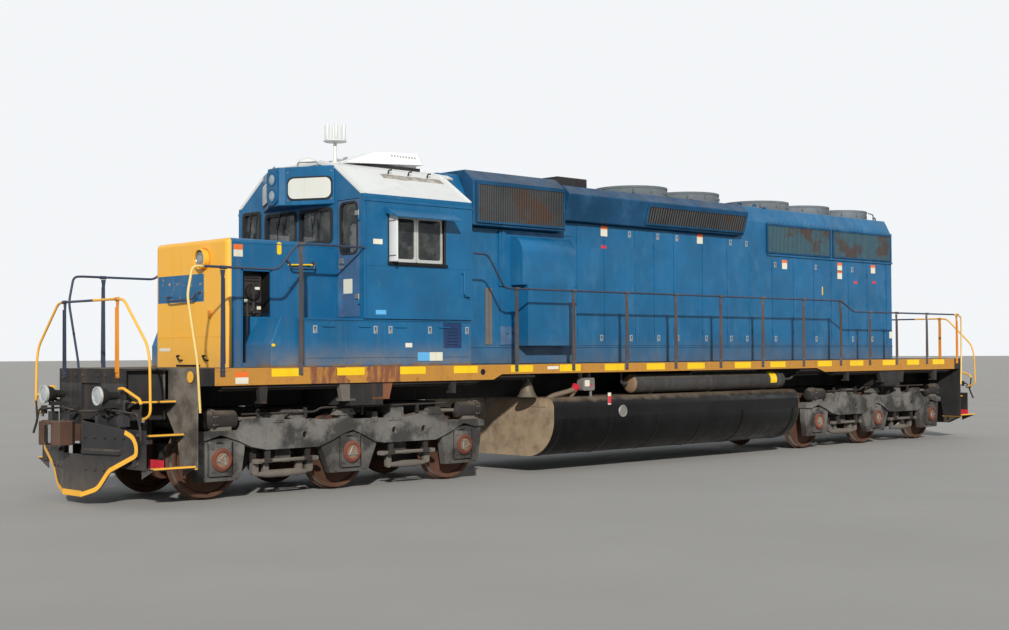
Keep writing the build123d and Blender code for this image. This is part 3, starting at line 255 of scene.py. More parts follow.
def sill_paint(tree, out):
    """Yellow along the outer face of the side sills, with rust below the cab."""
    along, height = tree.axis("X"), tree.axis("Z")
    face = tree.times(tree.above(tree.size_of("Y"), SIDE - 0.003), tree.inside(height, 1.47, DECK - 0.002))
    face = tree.times(face, tree.below(tree.size_of("X"), SILL_YELLOW_END))
    yellow = tree.mix(tree.spots((2.2, 5.0, 0.6, (1.0, 1.0, 0.25)), 0.35, 0.65), SILL_TAN, (184, 130, 60))
    small = tree.spots((8.0, 8.0, 0.7, (1.0, 1.0, 0.2)), 0.42, 0.6)
    near = tree.plus(along, tree.times(tree.noise(5.0, 6.0, 0.7), 0.3))
    stained = tree.plus(tree.inside(near, 6.24, 6.78), tree.inside(near, 7.12, 7.74))
    yellow = tree.mix(tree.times(stained, tree.plus(small, 0.35, True)), yellow, (126, 80, 60))
    yellow = tree.mix(tree.times(tree.spots((14.0, 8.0, 0.75), 0.56, 0.66), 0.6), yellow, (140, 88, 50))
    plate = tree.inside(along, STEP_X - 0.03, STEP_X + 0.03)
    smeared = tree.spots((3.0, 7.0, 0.62), 0.3, 0.66, 0.15, 0.75)
    out = tree.mix(tree.times(plate, smeared), out, (136, 128, 118))
    return tree.mix(face, out, yellow)


def tank_paint(tree, out):
    """Light brown dust on the end plates, and along the upper edge of the dark sides."""
    low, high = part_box("fuel_tank")
    end = tree.plus(tree.above(tree.axis("X"), high.x - 0.004), tree.below(tree.axis("X"), low.x + 0.004))
    broken = tree.spots((3.0, 8.0, 0.7), 0.25, 0.6, 0.45, 0.95)
    out = tree.mix(tree.times(end, broken), out, (164, 144, 120))
    ragged = tree.plus(tree.axis("Z"), tree.times(tree.noise(4.0, 6.0, 0.7, (1.0, 1.0, 0.3)), 0.16))
    return tree.mix(tree.span(ragged, 1.17, 1.28, 0.0, 0.8), out, (128, 112, 96))


def battery_paint(tree, out):
    """Dust and a scalloped rusty edge along the foot of the battery boxes."""
    wave = tree.math("ABSOLUTE", tree.math("SINE", tree.times(tree.axis("X"), 9.0)))
    ragged = tree.times(tree.noise(7.0, 7.0, 0.7), 0.06)
    edge = tree.plus(tree.plus(tree.times(wave, 0.018), ragged), DECK - 0.012)
    foot = tree.below(tree.axis("Z"), edge)
    return tree.mix(tree.times(foot, tree.above(tree.size_of("Y"), 1.2)), out, (92, 70, 58))


def roof_paint(tree, out):
    """Blue fascia along the eaves of a white roof, and a grey walk band at the knee."""
    height = tree.axis("Z")
    ragged = tree.plus(height, tree.times(tree.noise(6.0, 6.0, 0.7), 0.05))
    length = tree.inside(tree.axis("X"), CAB_REAR + 0.15, CAB_FRONT - 0.7)
    band = tree.times(tree.inside(ragged, 4.375, 4.45), length)
    out = tree.mix(tree.times(band, tree.spots((8.0, 6.0), 0.3, 0.6, 0.45, 0.95)), out, (134, 124, 110))
    return tree.mix(tree.below(height, EAVE + 0.004), out, BODY_BLUE)


def grille_rust(tree, out):
    """Pale blue slats at the radiators, and brown and rusty patches on all."""
    radiator = tree.below(tree.axis("X"), RADIATOR_FRONT)
    broken = tree.spots((9.0, 6.0, 0.7), 0.2, 0.7, 0.55, 1.0)
    out = tree.mix(tree.times(radiator, broken), out, (74, 108, 122))
    patches = tree.spots((1.3, 4.0, 0.6, (1.0, 1.0, 1.4)), 0.5, 0.6)
    return tree.mix(tree.times(patches, 0.75), out, (92, 66, 52))


def hood_paint(tree, out):
    """Grime that darkens the foot of the walls."""
    grimy = tree.span(tree.axis("Z"), 1.7, 2.3, 0.3, 0.0)
    return tree.mix(tree.times(grimy, tree.spots((2.6, 7.0, 0.6), 0.2, 0.7, 0.5, 1.0)), out, (28, 52, 74))


def greasy(tree, out):
    """Black grease in broad patches, and lower down."""
    out = tree.mix(tree.times(tree.spots((2.4, 6.0, 0.62), 0.42, 0.6), 0.8), out, (34, 33, 33))
    return tree.mix(tree.span(tree.axis("Z"), 0.3, 0.75, 0.45, 0.0), out, (40, 36, 33))


# Finishes, columns: name, colour, roughness, change of tone, grain, then what else it has

BLUE = weathered("blue_paint", BODY_BLUE, 0.42, 0.16, 0.06, hood_paint, chalk=0.22, streaks=0.3,
                 stain=(38, 66, 88), dust=(0.3, 1.66, 2.2), rust=0.05, dents=0.12, coat=0.08)
NOSE = weathered("nose_paint", BODY_BLUE, 0.42, 0.1, 0.06, nose_paint, streaks=0.16, stain=(150, 120, 80),
                 dust=(0.25, 1.66, 2.2), rust=0.05, dents=0.22, coat=0.2)
ROOF_BLUE = weathered("roof_blue", (26, 70, 104), 0.6, 0.2, 0.1, chalk=0.25, streaks=0.3,
                      stain=(32, 52, 68), lying=0.3, rust=0.06, dents=0.15, shine=0.15)
WORN_BLUE = weathered("worn_blue", (64, 98, 134), 0.55, 0.2, 0.2, chalk=0.6, streaks=0.5,
                      stain=(120, 104, 92), rust=0.5, dents=0.2)
YELLOW = weathered("yellow_paint", NOSE_YELLOW, 0.45, 0.1, 0.08, streaks=0.2, stain=(176, 128, 62),
                   rust=0.2)
BRIGHT = weathered("bright_strip", (238, 198, 30), 0.35, 0.06, 0.05, streaks=0.3, stain=(200, 150, 40),
                   rust=0.1)
POST_ORANGE = weathered("post_orange", (214, 138, 46), 0.5, 0.12, 0.1, rust=0.35)
RAIL_GREY = weathered("rail_grey", (52, 62, 82), 0.5, 0.2, 0.1, rust=0.3)
POST_GREY = weathered("post_grey", (84, 77, 76), 0.6, 0.2, 0.15, chalk=0.2, streaks=0.5,
                      stain=(122, 88, 66), rust=0.5)
BLACK = weathered("black_paint", (50, 50, 52), 0.6, 0.25, 0.2, streaks=0.3, dust=(0.35, 0.2, 1.7),
                  lying=0.5, rust=0.12)
TANK_BLACK = weathered("tank_black", (8, 8, 9), 0.36, 0.3, 0.08, tank_paint, streaks=0.08,
                       stain=(60, 54, 48), rust=0.02, dents=0.35, shine=0.22)
TANK_GREY = weathered("tank_fitting_grey", (120, 118, 114), 0.6, 0.2, 0.2, streaks=0.3,
                      dust=(0.3, 0.5, 1.7), rust=0.2)
BATTERY = weathered("battery_paint", BODY_BLUE, 0.42, 0.13, 0.06, battery_paint, chalk=0.25, streaks=0.3,
                    stain=(96, 98, 96), dust=(0.6, 1.72, 2.1), rust=0.08, dents=0.25, coat=0.08)
LATCH = weathered("latch_grey", (146, 158, 170), 0.5, 0.12, 0.08, streaks=0.3, rust=0.15)
LOUVRE = weathered("louvre_purple", (24, 52, 92), 0.6, 0.15, 0.1, streaks=0.3, dust=(0.2, 1.0, 2.4),
                   rust=0.1)
WORN_YELLOW = weathered("worn_yellow", (226, 196, 122), 0.55, 0.14, 0.1, streaks=0.3, stain=(180, 140, 84),
                        rust=0.25)
SLOT_GREY = weathered("slot_grey", (160, 162, 162), 0.6, 0.1, 0.08)
PLOW_BLACK = weathered("plow_black", (44, 44, 46), 0.5, 0.25, 0.15, streaks=0.25, dust=(0.35, 0.1, 0.8),
                       lying=0.4, rust=0.1, dents=0.3)
SILL = weathered("underframe_paint", (42, 42, 43), 0.8, 0.3, 0.2, sill_paint, streaks=0.25,
                 stain=(120, 90, 60), lying=0.5, rust=0.1, shine=0.25)
TRUCK = weathered("cast_steel_dusty", (106, 104, 101), 0.85, 0.28, 0.5, greasy, streaks=0.3,
                  stain=(62, 56, 52), lying=0.6, rust=0.22, fine=120.0)
DARK_CAST = weathered("cast_steel_dark", (46, 43, 42), 0.8, 0.3, 0.5, lying=0.6, rust=0.25, fine=120.0)
GREY_CAST = weathered("cast_steel_grey", (104, 99, 93), 0.75, 0.2, 0.4, lying=0.5, rust=0.3, fine=120.0)
RUST_RED = weathered("rust_red", (112, 62, 50), 0.8, 0.25, 0.4, rust=0.4, lying=0.3)
WHEEL = weathered("wheel_steel", (92, 64, 50), 0.75, 0.25, 0.4, metal=0.25, streaks=0.2, stain=(70, 50, 42),
                  rust=0.4)
TREAD = weathered("bright_tread", (190, 186, 180), 0.28, 0.1, 0.1, metal=0.9)
# Dark rust brown, darker than rust alone as painted shade of the coupler under the pilot
COUPLER = weathered("coupler_rust_and_shade", (74, 54, 44), 0.8, 0.3, 0.5, rust=0.45, lying=0.3, fine=120.0)
LAMP_GREY = weathered("lamp_face_grey", (132, 136, 138), 0.25, 0.1, 0.03, metal=0.4)
RUSTY = weathered("rusty_bracket", (118, 76, 54), 0.8, 0.25, 0.3, streaks=0.3, rust=0.4)
RIM_TAN = weathered("cover_tan", (128, 104, 82), 0.75, 0.2, 0.4, rust=0.3)
STEEL = weathered("dull_steel", (150, 150, 148), 0.45, 0.15, 0.2, metal=0.6, rust=0.3)
GRILLE = weathered("grille_slats", (74, 76, 77), 0.7, 0.2, 0.2, grille_rust, streaks=0.3,
                   stain=(52, 74, 92))
# Near black: painted shade in holes, slots, gaps and behind grilles, and the own colour of small dark parts
# such as wipers
SHADE_AND_BLACK = weathered("painted_shade_and_black", (22, 21, 21), 0.9, 0.3, 0.2)
FAN_METAL = weathered("fan_metal", (104, 112, 118), 0.7, 0.2, 0.15, streaks=0.4, stain=(92, 84, 76),
                      rust=0.15, lying=0.3)
SOOTY = weathered("sooty_steel", (42, 42, 44), 0.85, 0.3, 0.3, streaks=0.4, stain=(40, 36, 34), rust=0.3,
                  lying=0.3)
WHITE = weathered("white_roof", (212, 214, 214), 0.5, 0.04, 0.08, roof_paint, streaks=0.22,
                  stain=(176, 168, 156))
UNIT_WHITE = weathered("roof_unit_white", (236, 238, 238), 0.45, 0.03, 0.05, streaks=0.12,
                       stain=(190, 184, 172))
PLAIN_WHITE = weathered("white_paint", (214, 216, 214), 0.5, 0.05, 0.08, streaks=0.25,
                        stain=(170, 160, 146), rust=0.08)
CREAM = weathered("board_cream", (206, 207, 200), 0.35, 0.04, 0.03, streaks=0.12)
LABEL = weathered("label_white", (222, 218, 200), 0.4, 0.06, 0.03, streaks=0.2, rust=0.1)
LABEL_ORANGE = weathered("label_orange", (232, 112, 46), 0.4, 0.08, 0.03, streaks=0.2)
RED = weathered("red_tag", (206, 48, 66), 0.4, 0.1, 0.03, streaks=0.2)
SKY_TAG = weathered("light_blue_tag", (96, 172, 222), 0.4, 0.06, 0.03)
RUBBER = weathered("rubber", (38, 38, 38), 0.7, 0.2, 0.2)
ALLOY = weathered("sash_alloy", (206, 207, 202), 0.4, 0.1, 0.1, metal=0.5, streaks=0.2)
CAST_GOLD = weathered("bell_bronze", (104, 96, 84), 0.6, 0.25, 0.2, metal=0.4, streaks=0.4, rust=0.2,
                      lying=0.4)
INSIDE = weathered("cab_inside", (124, 132, 124), 0.7, 0.12, 0.1, streaks=0.15)
SEAT = weathered("seat_vinyl", (52, 44, 40), 0.55, 0.15, 0.35, fine=220.0)
WINDOW = glass("window_glass", (38, 46, 48), alpha=0.42)
# Pale lens: its whiteness is partly a painted bright reflection at the lamp's centre
LENS = glass("lamp_lens", (206, 214, 216), rough=0.08, alpha=0.35)
BOWL = weathered("lamp_bowl", (226, 228, 230), 0.14, 0.04, 0.02, metal=1.0)


# Outlines, rows of points with two numbers each

def rectangle(low_a, high_a, low_b, high_b):
    return [(low_a, low_b), (high_a, low_b), (high_a, high_b), (low_a, high_b)]


def taper(middle, half_a, a, half_b, b):
    """Straight-sided, with half_a to each side of the middle at a, and half_b at b."""
    return [(middle - half_a, a), (middle + half_a, a), (middle + half_b, b), (middle - half_b, b)]


def circle(centre_a, centre_b, radius, sides=24, start=0):
    turns = [math.radians(start + 360 * k / sides) for k in range(sides)]
    return [(centre_a + radius * math.cos(t), centre_b + radius * math.sin(t)) for t in turns]


def rounded(centre_a, centre_b, width, height, radius, steps=5):
    """Rounded rectangle, the same number of points for any size."""
    points = []
    for side_a, side_b, start in ((1, 1, 0), (-1, 1, 90), (-1, -1, 180), (1, -1, 270)):
        for step in range(steps + 1):
            turn = math.radians(start + 90 * step / steps)
            points.append((centre_a + side_a * (width / 2 - radius) + radius * math.cos(turn),
                           centre_b + side_b * (height / 2 - radius) + radius * math.sin(turn)))
    return points


def bent(points, radius, steps=5):
    """Path with each corner of a rigid bar rounded by a bend of about this radius."""
    path = [Vector(points[0])]
    for before, here, after in zip(points, points[1:], points[2:]):
        before, here, after = Vector(before), Vector(here), Vector(after)
        back, ahead = (before - here), (after - here)
        reach = min(radius, 0.45 * back.length, 0.45 * ahead.length)
        start, end = here + back.normalized() * reach, here + ahead.normalized() * reach
        for step in range(steps + 1):
            share = step / steps
            path.append(start.lerp(here, share).lerp(here.lerp(end, share), share))
    path.append(Vector(points[-1]))
    return path


WAYS = {"x": Vector((1, 0, 0)), "y": Vector((0, 1, 0)), "z": Vector((0, 0, 1))}
SHARP_ANGLE = 38


class Shape:
    """Gathers solids into one mesh, which becomes one piece of the model.
    Its points count from x, y and z, and a way of -1 turns them half round in plan."""

    def __init__(self, x=0.0, y=0.0, z=0.0, way=1):
        self.bm = bmesh.new()
        self.finish = 0
        self.start, self.way = (x, y, z), way

    def turned(self, way):
        """A direction as the mesh has it, and back again from there."""
        return Vector((self.way * way.x, self.way * way.y, way.z))

    def vert(self, point):
        x, y, z = self.start
        return self.bm.verts.new((x + self.way * point[0], y + self.way * point[1], z + point[2]))

    def face(self, verts):
        made = self.bm.faces.new(verts)
        made.material_index = self.finish
        return made

    def loops(self, rings, closed=False):
        """Skin over a row of rings with equal numbers of points, capped unless the row closes on itself."""
        made = [[self.vert(p) for p in ring] for ring in rings]
        count = len(made[0])
        if closed:
            made.append(made[0])
        for a, b in zip(made, made[1:]):
            for k in range(count):
                self.face((a[k], a[(k + 1) % count], b[(k + 1) % count], b[k]))
        if not closed:
            self.face(list(reversed(made[0])))
            self.face(made[-1])

    @staticmethod
    def at(axis, along, point):
        a, b = point
        return {"x": (along, a, b), "y": (a, along, b), "z": (a, b, along)}[axis]

    def prism(self, outline, axis, low, high):
        """An outline pushed along an axis. Its two numbers are the other two axes, in order."""
        self.loops([[self.at(axis, along, p) for p in outline] for along in (low, high)])

    def box(self, *ends):
        """A block between two places on x, two on y and two on z."""
        self.prism(rectangle(*ends[:4]), "z", *ends[4:])

    def walls(self, finish, face, rows):
        """Plates out from the left wall's face. Columns: depth, rear, front, bottom, top."""
        self.finish = finish
        for depth, rear, front, low, high in rows:
            self.box(rear, front, face, face + depth, low, high)

    def frame(self, outer, inner, axis, low, high):
        """A flat ring between two outlines with equal numbers of points."""
        rings = [(low, outer), (high, outer), (high, inner), (low, inner)]
        self.loops([[self.at(axis, along, p) for p in outline] for along, outline in rings], closed=True)

    def tube(self, points, radius, sides=10, bend=0.0):
        """A round bar along a path, capped at both ends."""
        path = bent(points, bend) if bend else [Vector(p) for p in points]
        side = None
        rings = []
        for k, here in enumerate(path):
            before, after = path[max(k - 1, 0)], path[min(k + 1, len(path) - 1)]
            ahead = (after - before).normalized()
            if side is None:
                side = self.turned(self.turned(ahead).orthogonal().normalized())
            side = (side - ahead * side.dot(ahead)).normalized()
            up = ahead.cross(side)
            rings.append([here + side * a + up * b for a, b in circle(0, 0, radius, sides)])
        self.loops(rings)

    def lathe(self, profile, centre, axis, sides=32, closed=False):
        """A turned solid. Columns of its profile: place along the axis, radius."""
        way = WAYS[axis]
        side = way.orthogonal().normalized()
        up = way.cross(side)
        rings = []
        for along, radius in profile:
            hub = Vector(centre) + way * along
            rings.append([hub + side * a + up * b for a, b in circle(0, 0, radius, sides)])
        self.loops(rings, closed)

    def ring(self, profile, centre, axis, sides=32):
        """A turned ring, whose profile closes on itself."""
        self.lathe(profile, centre, axis, sides, True)

    def bar(self, half, radius, centre, axis, sides=8):
        """A round bar to both sides of its middle."""
        self.lathe([(-half, radius), (half, radius)], centre, axis, sides)

    def bolt(self, centre, axis, depth, radius=0.016):
        """A six-sided head on a washer."""
        self.lathe([(0, radius * 1.35), (depth * 0.25, radius * 1.35)], centre, axis, 12)
        self.lathe([(depth * 0.25, radius), (depth, radius)], centre, axis, 6)

    def mirror(self, axes="y"):
        """Adds the mirror image of all that is here, for each axis."""
        for axis in axes:
            flip = {"x": Vector((-1, 1, 1)), "y": Vector((1, -1, 1))}[axis]
            made = bmesh.ops.duplicate(self.bm, geom=self.bm.verts[:] + self.bm.edges[:] + self.bm.faces[:])
            for item in made["geom"]:
                if isinstance(item, bmesh.types.BMVert):
                    item.co = item.co * flip

    def piece(self, name, materials, bevel=0.0, body=BODY, segments=1, replaces=(), sharp=SHARP_ANGLE):
        # Mirrored faces keep their old normals until this, and would turn inward
        self.bm.normal_update()
        bmesh.ops.recalc_face_normals(self.bm, faces=self.bm.faces[:])
        for edge in self.bm.edges:
            edge.smooth = not (edge.is_manifold and edge.calc_face_angle(0) > math.radians(sharp))
        for made in self.bm.faces:
            made.smooth = True
        made = self.place(name, materials)
        if bevel:
            soften(made, bevel, segments)
        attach(made, body)
        if replaces:
            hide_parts(*replaces)
        return made

    def place(self, name, materials):
        """The finished mesh as an object in the scene."""
        mesh = bpy.data.meshes.new(name)
        self.bm.to_mesh(mesh)
        self.bm.free()
        for material in materials:
            mesh.materials.append(material)
        made = bpy.data.objects.new(name, mesh)
        bpy.context.scene.collection.objects.link(made)
        return made


def soften(item, width, segments=2):
    modifier = item.modifiers.new("edges", "BEVEL")
    modifier.width = width
    modifier.segments = segments
    modifier.limit_method = "ANGLE"
    modifier.angle_limit = math.radians(SHARP_ANGLE)
    modifier.harden_normals = True


# CAD nodes that stay, columns: node, finish, width of its broken edges
KEPT = [
    ("underframe", SILL, 0.004), ("pilots", PLOW_BLACK, 0.004), ("fuel_tank", TANK_BLACK, 0.01),
    ("main_reservoirs", BLACK, 0.01), ("bell", CAST_GOLD, 0.0), ("short_hood", NOSE, 0.0),
    ("battery_boxes", BATTERY, 0.006), ("cab_floor", BLUE, 0.006), ("cab_shell", BLUE, 0.006),
    ("cab_roof", WHITE, 0.006), ("number_housing", BLUE, 0.02), ("air_conditioner", UNIT_WHITE, 0.03),
    ("filter_compartment", ROOF_BLUE, 0.02), ("blower_duct", BLUE, 0.012), ("long_hood", BLUE, 0.03),
    ("hood_doors", BLUE, 0.003), ("brake_hatch", ROOF_BLUE, 0.02), ("exhaust_stack", SOOTY, 0.006),
    ("engine", DARK_CAST, 0.02), ("fan_rings", FAN_METAL, 0.006), ("control_stand", INSIDE, 0.01),
    ("coupler_front", COUPLER, 0.03), ("coupler_rear", COUPLER, 0.03), ("cab_glass", WINDOW, 0.0),
]
for end in ("front", "rear"):
    KEPT += [(f"truck_frame_{end}", TRUCK, 0.014), (f"journal_boxes_{end}", TRUCK, 0.024),
             (f"truck_bolster_{end}", TRUCK, 0.012), (f"traction_motors_{end}", DARK_CAST, 0.02)]
for node, finish, edge_width in KEPT:
    item = nodes[node]
    item.data.materials.clear()
    item.data.materials.append(finish)
    if edge_width:
        weld = item.modifiers.new("join", "WELD")
        weld.merge_threshold = 0.0002
        soften(item, edge_width)


def wheelset(number, x):
    """Axle with two wheels: hub, dished plate, rim with a bright tread, flange."""
    back, front = 0.6765, 0.8165
    half = [
        (0.0, 0.09), (back - 0.012, 0.09), (back, 0.13), (back + 0.012, 0.15), (0.712, 0.19), (0.728, 0.40),
        (0.712, 0.45), (back + 0.004, 0.462), (back, 0.47), (back, 0.522), (back + 0.008, 0.534),
        (back + 0.018, 0.536), (back + 0.027, 0.53), (back + 0.036, 0.514), (back + 0.05, 0.508),
        (front - 0.006, 0.506), (front, 0.50), (front, 0.462), (front - 0.006, 0.452), (0.772, 0.436),
        (0.764, 0.20), (0.785, 0.155), (front - 0.006, 0.14), (front, 0.132), (front, 0.078),
            (0.86, 0.0745),
        (1.12, 0.0745), (1.126, 0.068),
    ]
    shape = Shape()
    hub = (x, 0, AXLE_Z)
    shape.lathe([(-y, r) for y, r in reversed(half)] + half[1:], hub, "y", 64)
    shape.finish = 1
    for side in (1, -1):
        tread = ((0.732, 0.5086), (0.802, 0.5072), (0.802, 0.504), (0.732, 0.504))
        shape.ring([(side * y, radius) for y, radius in tread], hub, "y", 64)
    shape.finish = 0
    shape.ring([(-0.38, 0.09), (-0.37, 0.32), (-0.27, 0.32), (-0.26, 0.09)], hub, "y", 48)
    node = f"wheelset_{number}"
    shape.piece(f"wheels_{number}", [WHEEL, TREAD], body=node, replaces=[node])


for number in range(1, 7):
    wheelset(number, (TRUCK_X if number <= 3 else -TRUCK_X) + AXLES[(number - 1) % 3])


# Trucks: covers on the journal boxes, castings on the beams, brake gear

PEDESTAL_FACE = 1.10
CORE_HOLES = (0.77, -0.76, -1.30)


def journal_covers(end, centre):
    """Round covers with a raised triangle, their bolts, and the wear plates beside each box."""
    shape = Shape(centre)
    for x in AXLES:
        hub = (x, COVER_FACE - 0.002, AXLE_Z)
        shape.finish = 0
        shape.lathe([(0, 0.148), (0.012, 0.148), (0.016, 0.143), (0.018, 0.132), (0.030, 0.128),
                     (0.034, 0.112),
                     (0.028, 0.101), (0.014, 0.096), (0.012, 0.03)], hub, "y", 40)
        shape.finish = 3
        shape.lathe([(0.012, 0.095), (0.016, 0.093), (0.018, 0.03), (0.024, 0.028), (0.024, 0.006)], hub,
                    "y", 36)
        shape.finish = 1
        corners = [(a, hub[1] + 0.020, b) for a, b in circle(x, AXLE_Z, 0.070, 3, 90 + 11 * x)]
        for a, b in zip(corners, corners[1:] + corners[:1]):
            shape.tube([a, b], 0.010, 8)
            shape.bolt(a, "y", 0.022, 0.015)
        for way in (1, -1):
            edge = x + way * 0.178
            shape.finish = 2
            shape.box(edge - 0.004, edge + 0.018, PEDESTAL_FACE, PEDESTAL_FACE + 0.010, 0.35, 0.73)
            for z in (0.39, 0.69):
                shape.bolt((x + way * 0.125, COVER_FACE - 0.027, z), "y", 0.02, 0.015)
            shape.bolt((x + way * 0.24, PEDESTAL_FACE, 0.30), "y", 0.024, 0.02)
            outline = ((0.15, 0.72), (0.05, 0.745), (0.05, 0.79), (0.19, 0.765))
            shape.prism([(x + way * a, z) for a, z in outline], "y", 1.0, 1.125)
            # Dark strips beside each box, painted as the shade in the gaps of the pedestal jaws
            shape.finish = 4
            shape.box(edge - 0.030, edge - 0.006, PEDESTAL_FACE, PEDESTAL_FACE + 0.003, 0.33, 0.76)
    shape.mirror()
    shape.piece(f"journal_covers_{end}", [RUST_RED, STEEL, TRUCK, RIM_TAN, SHADE_AND_BLACK], 0.003, f"truck_{end}")


def beam_castings(end, centre):
    """Rims of the core holes, lugs, bolts and pipes on the side beams."""
    shape = Shape(centre)
    face = BEAM_FACE
    for x in CORE_HOLES:
        # Dark disc set back in each core hole, painted as the shade inside it
        shape.finish = 1
        shape.lathe([(-0.045, 0.044), (-0.04, 0.044)], (x, face, 0.80), "y", 24)
        shape.finish = 0
        shape.ring([(-0.002, 0.06), (0.004, 0.057), (0.004, 0.047), (-0.002, 0.045)], (x, face, 0.80), "y",
                   28)
    # Lugs on the top edge, columns: place, half width, bottom, top
    for x, half, low, high in ((-0.77, 0.13, 0.94, 1.08), (-0.40, 0.06, 0.93, 1.07),
                               (0.09, 0.16, 1.04, 1.13),
                               (1.20, 0.10, 0.98, 1.08), (-1.52, 0.12, 1.0, 1.10)):
        shape.prism(taper(x, half, low, half * 0.6, high), "y", face - 0.15, face + 0.018)
        for way in (1, -1):
            shape.bolt((x + way * half * 0.5, face + 0.018, low + 0.04), "y", 0.018, 0.014)
    # Upright ribs cast on the outer face
    for x in (1.42, 1.0, 0.42, -0.38, -0.98, -1.62):
        shape.box(x - 0.012, x + 0.012, face - 0.01, face + 0.012, 0.72, 0.95)
    shape.finish = 2
    shape.tube([(1.75, face - 0.03, 1.10), (0.6, face - 0.02, 1.10), (0.5, face - 0.02, 1.15),
                (-1.8, face - 0.03, 1.15)], 0.014, 8, bend=0.05)
    for x in (1.5, 0.75, -0.2, -1.2):
        shape.box(x - 0.02, x + 0.02, face - 0.05, face - 0.012, 1.03, 1.16)
    shape.mirror()
    shape.piece(f"beam_castings_{end}", [TRUCK, SHADE_AND_BLACK, DARK_CAST], 0.004, f"truck_{end}")


def clevis(shape, x, z, way, y=1.085):
    """A forked rod end with its pin."""
    for plate in (-0.03, 0.018):
        shape.prism(rounded(x + way * 0.035, z, 0.13, 0.062, 0.026, 3), "y", y + plate, y + plate + 0.012)
    shape.bar(0.045, 0.017, (x + way * 0.06, y, z), "y", 12)


def brake_gear(end, centre):
    """Cylinders, levers, rods, and curved shoes on their hangers."""
    shape = Shape(centre)
    cylinder_y, cylinder_z, rod_y, rod_z = 1.06, 1.04, 1.085, 0.48
    # Cylinders, columns: closed end, rod end
    for back, front in ((1.79, 2.33), (-1.94, -2.48)):
        way = 1 if front > back else -1
        profile = [(0.0, 0.05), (0.02, 0.07), (0.05, 0.118), (0.36, 0.124), (0.362, 0.142), (0.402, 0.142),
                   (0.404, 0.128), (0.47, 0.122), (0.52, 0.09), (0.54, 0.03)]
        shape.finish = 1
        shape.lathe([(way * along, radius) for along, radius in profile], (back, cylinder_y, cylinder_z),
                    "x")
        shape.finish = 0
        for y, z in circle(cylinder_y, cylinder_z, 0.132, 8, 20):
            shape.bar(0.035, 0.012, (back + way * 0.385, y, z), "x", 6)
        middle = (back + front) / 2
        shape.box(middle - 0.15, middle + 0.15, 0.98, 1.14, 0.90, 0.96)
        reach = back - way * 0.42
        shape.tube([(back, cylinder_y, cylinder_z), (reach, 1.07, cylinder_z + 0.01)], 0.026, 10)
        clevis(shape, reach, cylinder_z + 0.01, -way, 1.07)
        # Lever from the push rod, outside the beam
        shape.prism(taper(reach - way * 0.06, 0.035, 1.08, 0.03, 0.93), "y", 1.06, 1.08)
    # Rods along the pedestals, columns: rear pin, front pin
    for low, high in ((0.49, 1.58), (-1.58, -0.49)):
        shape.finish = 0
        shape.tube([(low + 0.12, rod_y, rod_z), (high - 0.12, rod_y, rod_z)], 0.026, 12)
        clevis(shape, low + 0.06, rod_z, 1)
        clevis(shape, high - 0.06, rod_z, -1)
        shape.bar(0.06, 0.032, ((low + high) / 2, rod_y, rod_z), "x", 6)
        shape.finish = 1
        for x in (low + 0.2, high - 0.25):
            shape.prism(taper(x, 0.03, 0.455, 0.045, 0.66), "y", rod_y - 0.022, rod_y + 0.022)
            shape.box(x - 0.06, x + 0.06, rod_y - 0.035, rod_y + 0.035, 0.452, 0.512)
    # Shoes, columns: axle, way from the wheel
    for axle, way in ((AXLE_PITCH, -1), (0.0, 1), (-AXLE_PITCH, 1)):
        arc = []
        for radius, angles in ((0.521, range(-13, 14, 2)), (0.575, range(13, -14, -2))):
            for turn in map(math.radians, angles):
                arc.append((axle + way * radius * math.cos(turn), AXLE_Z + radius * math.sin(turn)))
        shape.finish = 1
        shape.prism(arc, "y", 0.722, 0.80)
        x = axle + way * 0.59
        shape.box(x - 0.03, x + 0.03, 0.735, 0.965, 0.60, 0.66)
        shape.box(x - 0.022, x + 0.022, 0.925, 0.968, 0.46, 0.82)
        # Slack adjuster with its yoke, low between the wheels
        near, far = axle + way * 0.62, axle + way * 1.30
        shape.box(near - 0.03, near + 0.03, 0.93, 0.966, 0.33, 0.64)
        shape.finish = 0
        profile = [(0.0, 0.024), (0.08, 0.034), (0.16, 0.05), (0.42, 0.052), (0.52, 0.040), (0.68, 0.028)]
        shape.lathe([(way * along, radius) for along, radius in profile], (near, 0.985, 0.30), "x", 20)
        shape.prism(rounded(near - way * 0.02, 0.38, 0.10, 0.17, 0.04, 3), "y", 0.95, 1.02)
        shape.prism(rounded(far, 0.36, 0.09, 0.20, 0.04, 3), "y", 0.955, 1.015)
    shape.mirror()
    shape.piece(f"brake_rigging_{end}", [GREY_CAST, DARK_CAST], 0.004, f"truck_{end}",
                replaces=[f"brake_gear_{end}"])


def air_bellows(end, centre):
    """Folded rubber ducts from the traction motors up to the underframe."""
    shape = Shape(centre)
    low, high, folds = 0.90, 1.165, 6
    for axle in AXLES:
        rings = []
        for fold in range(folds + 1):
            z = low + (high - low) * fold / folds
            grow = 0.03 if fold % 2 else 0.0
            rings.append([(a, b, z) for a, b in rounded(axle * 0.78, 0, 1.0 + grow, 1.02 + grow, 0.09, 4)])
        shape.loops(rings)
    shape.piece(f"air_bellows_{end}", [RUBBER], body=f"truck_{end}", sharp=20)


for end, centre in (("front", TRUCK_X), ("rear", -TRUCK_X)):
    journal_covers(end, centre)
    air_bellows(end, centre)
    beam_castings(end, centre)
    brake_gear(end, centre)


# Underframe: strips on the sills, brackets, steps

# Middle of each bright strip, from front to rear
STRIPS = (7.96, 6.92, 5.84, 4.85, 3.72, 2.68, 1.66, 0.65, -0.40, -1.70, -2.74, -4.23, -5.31, -6.47, -7.38,
          -8.38)
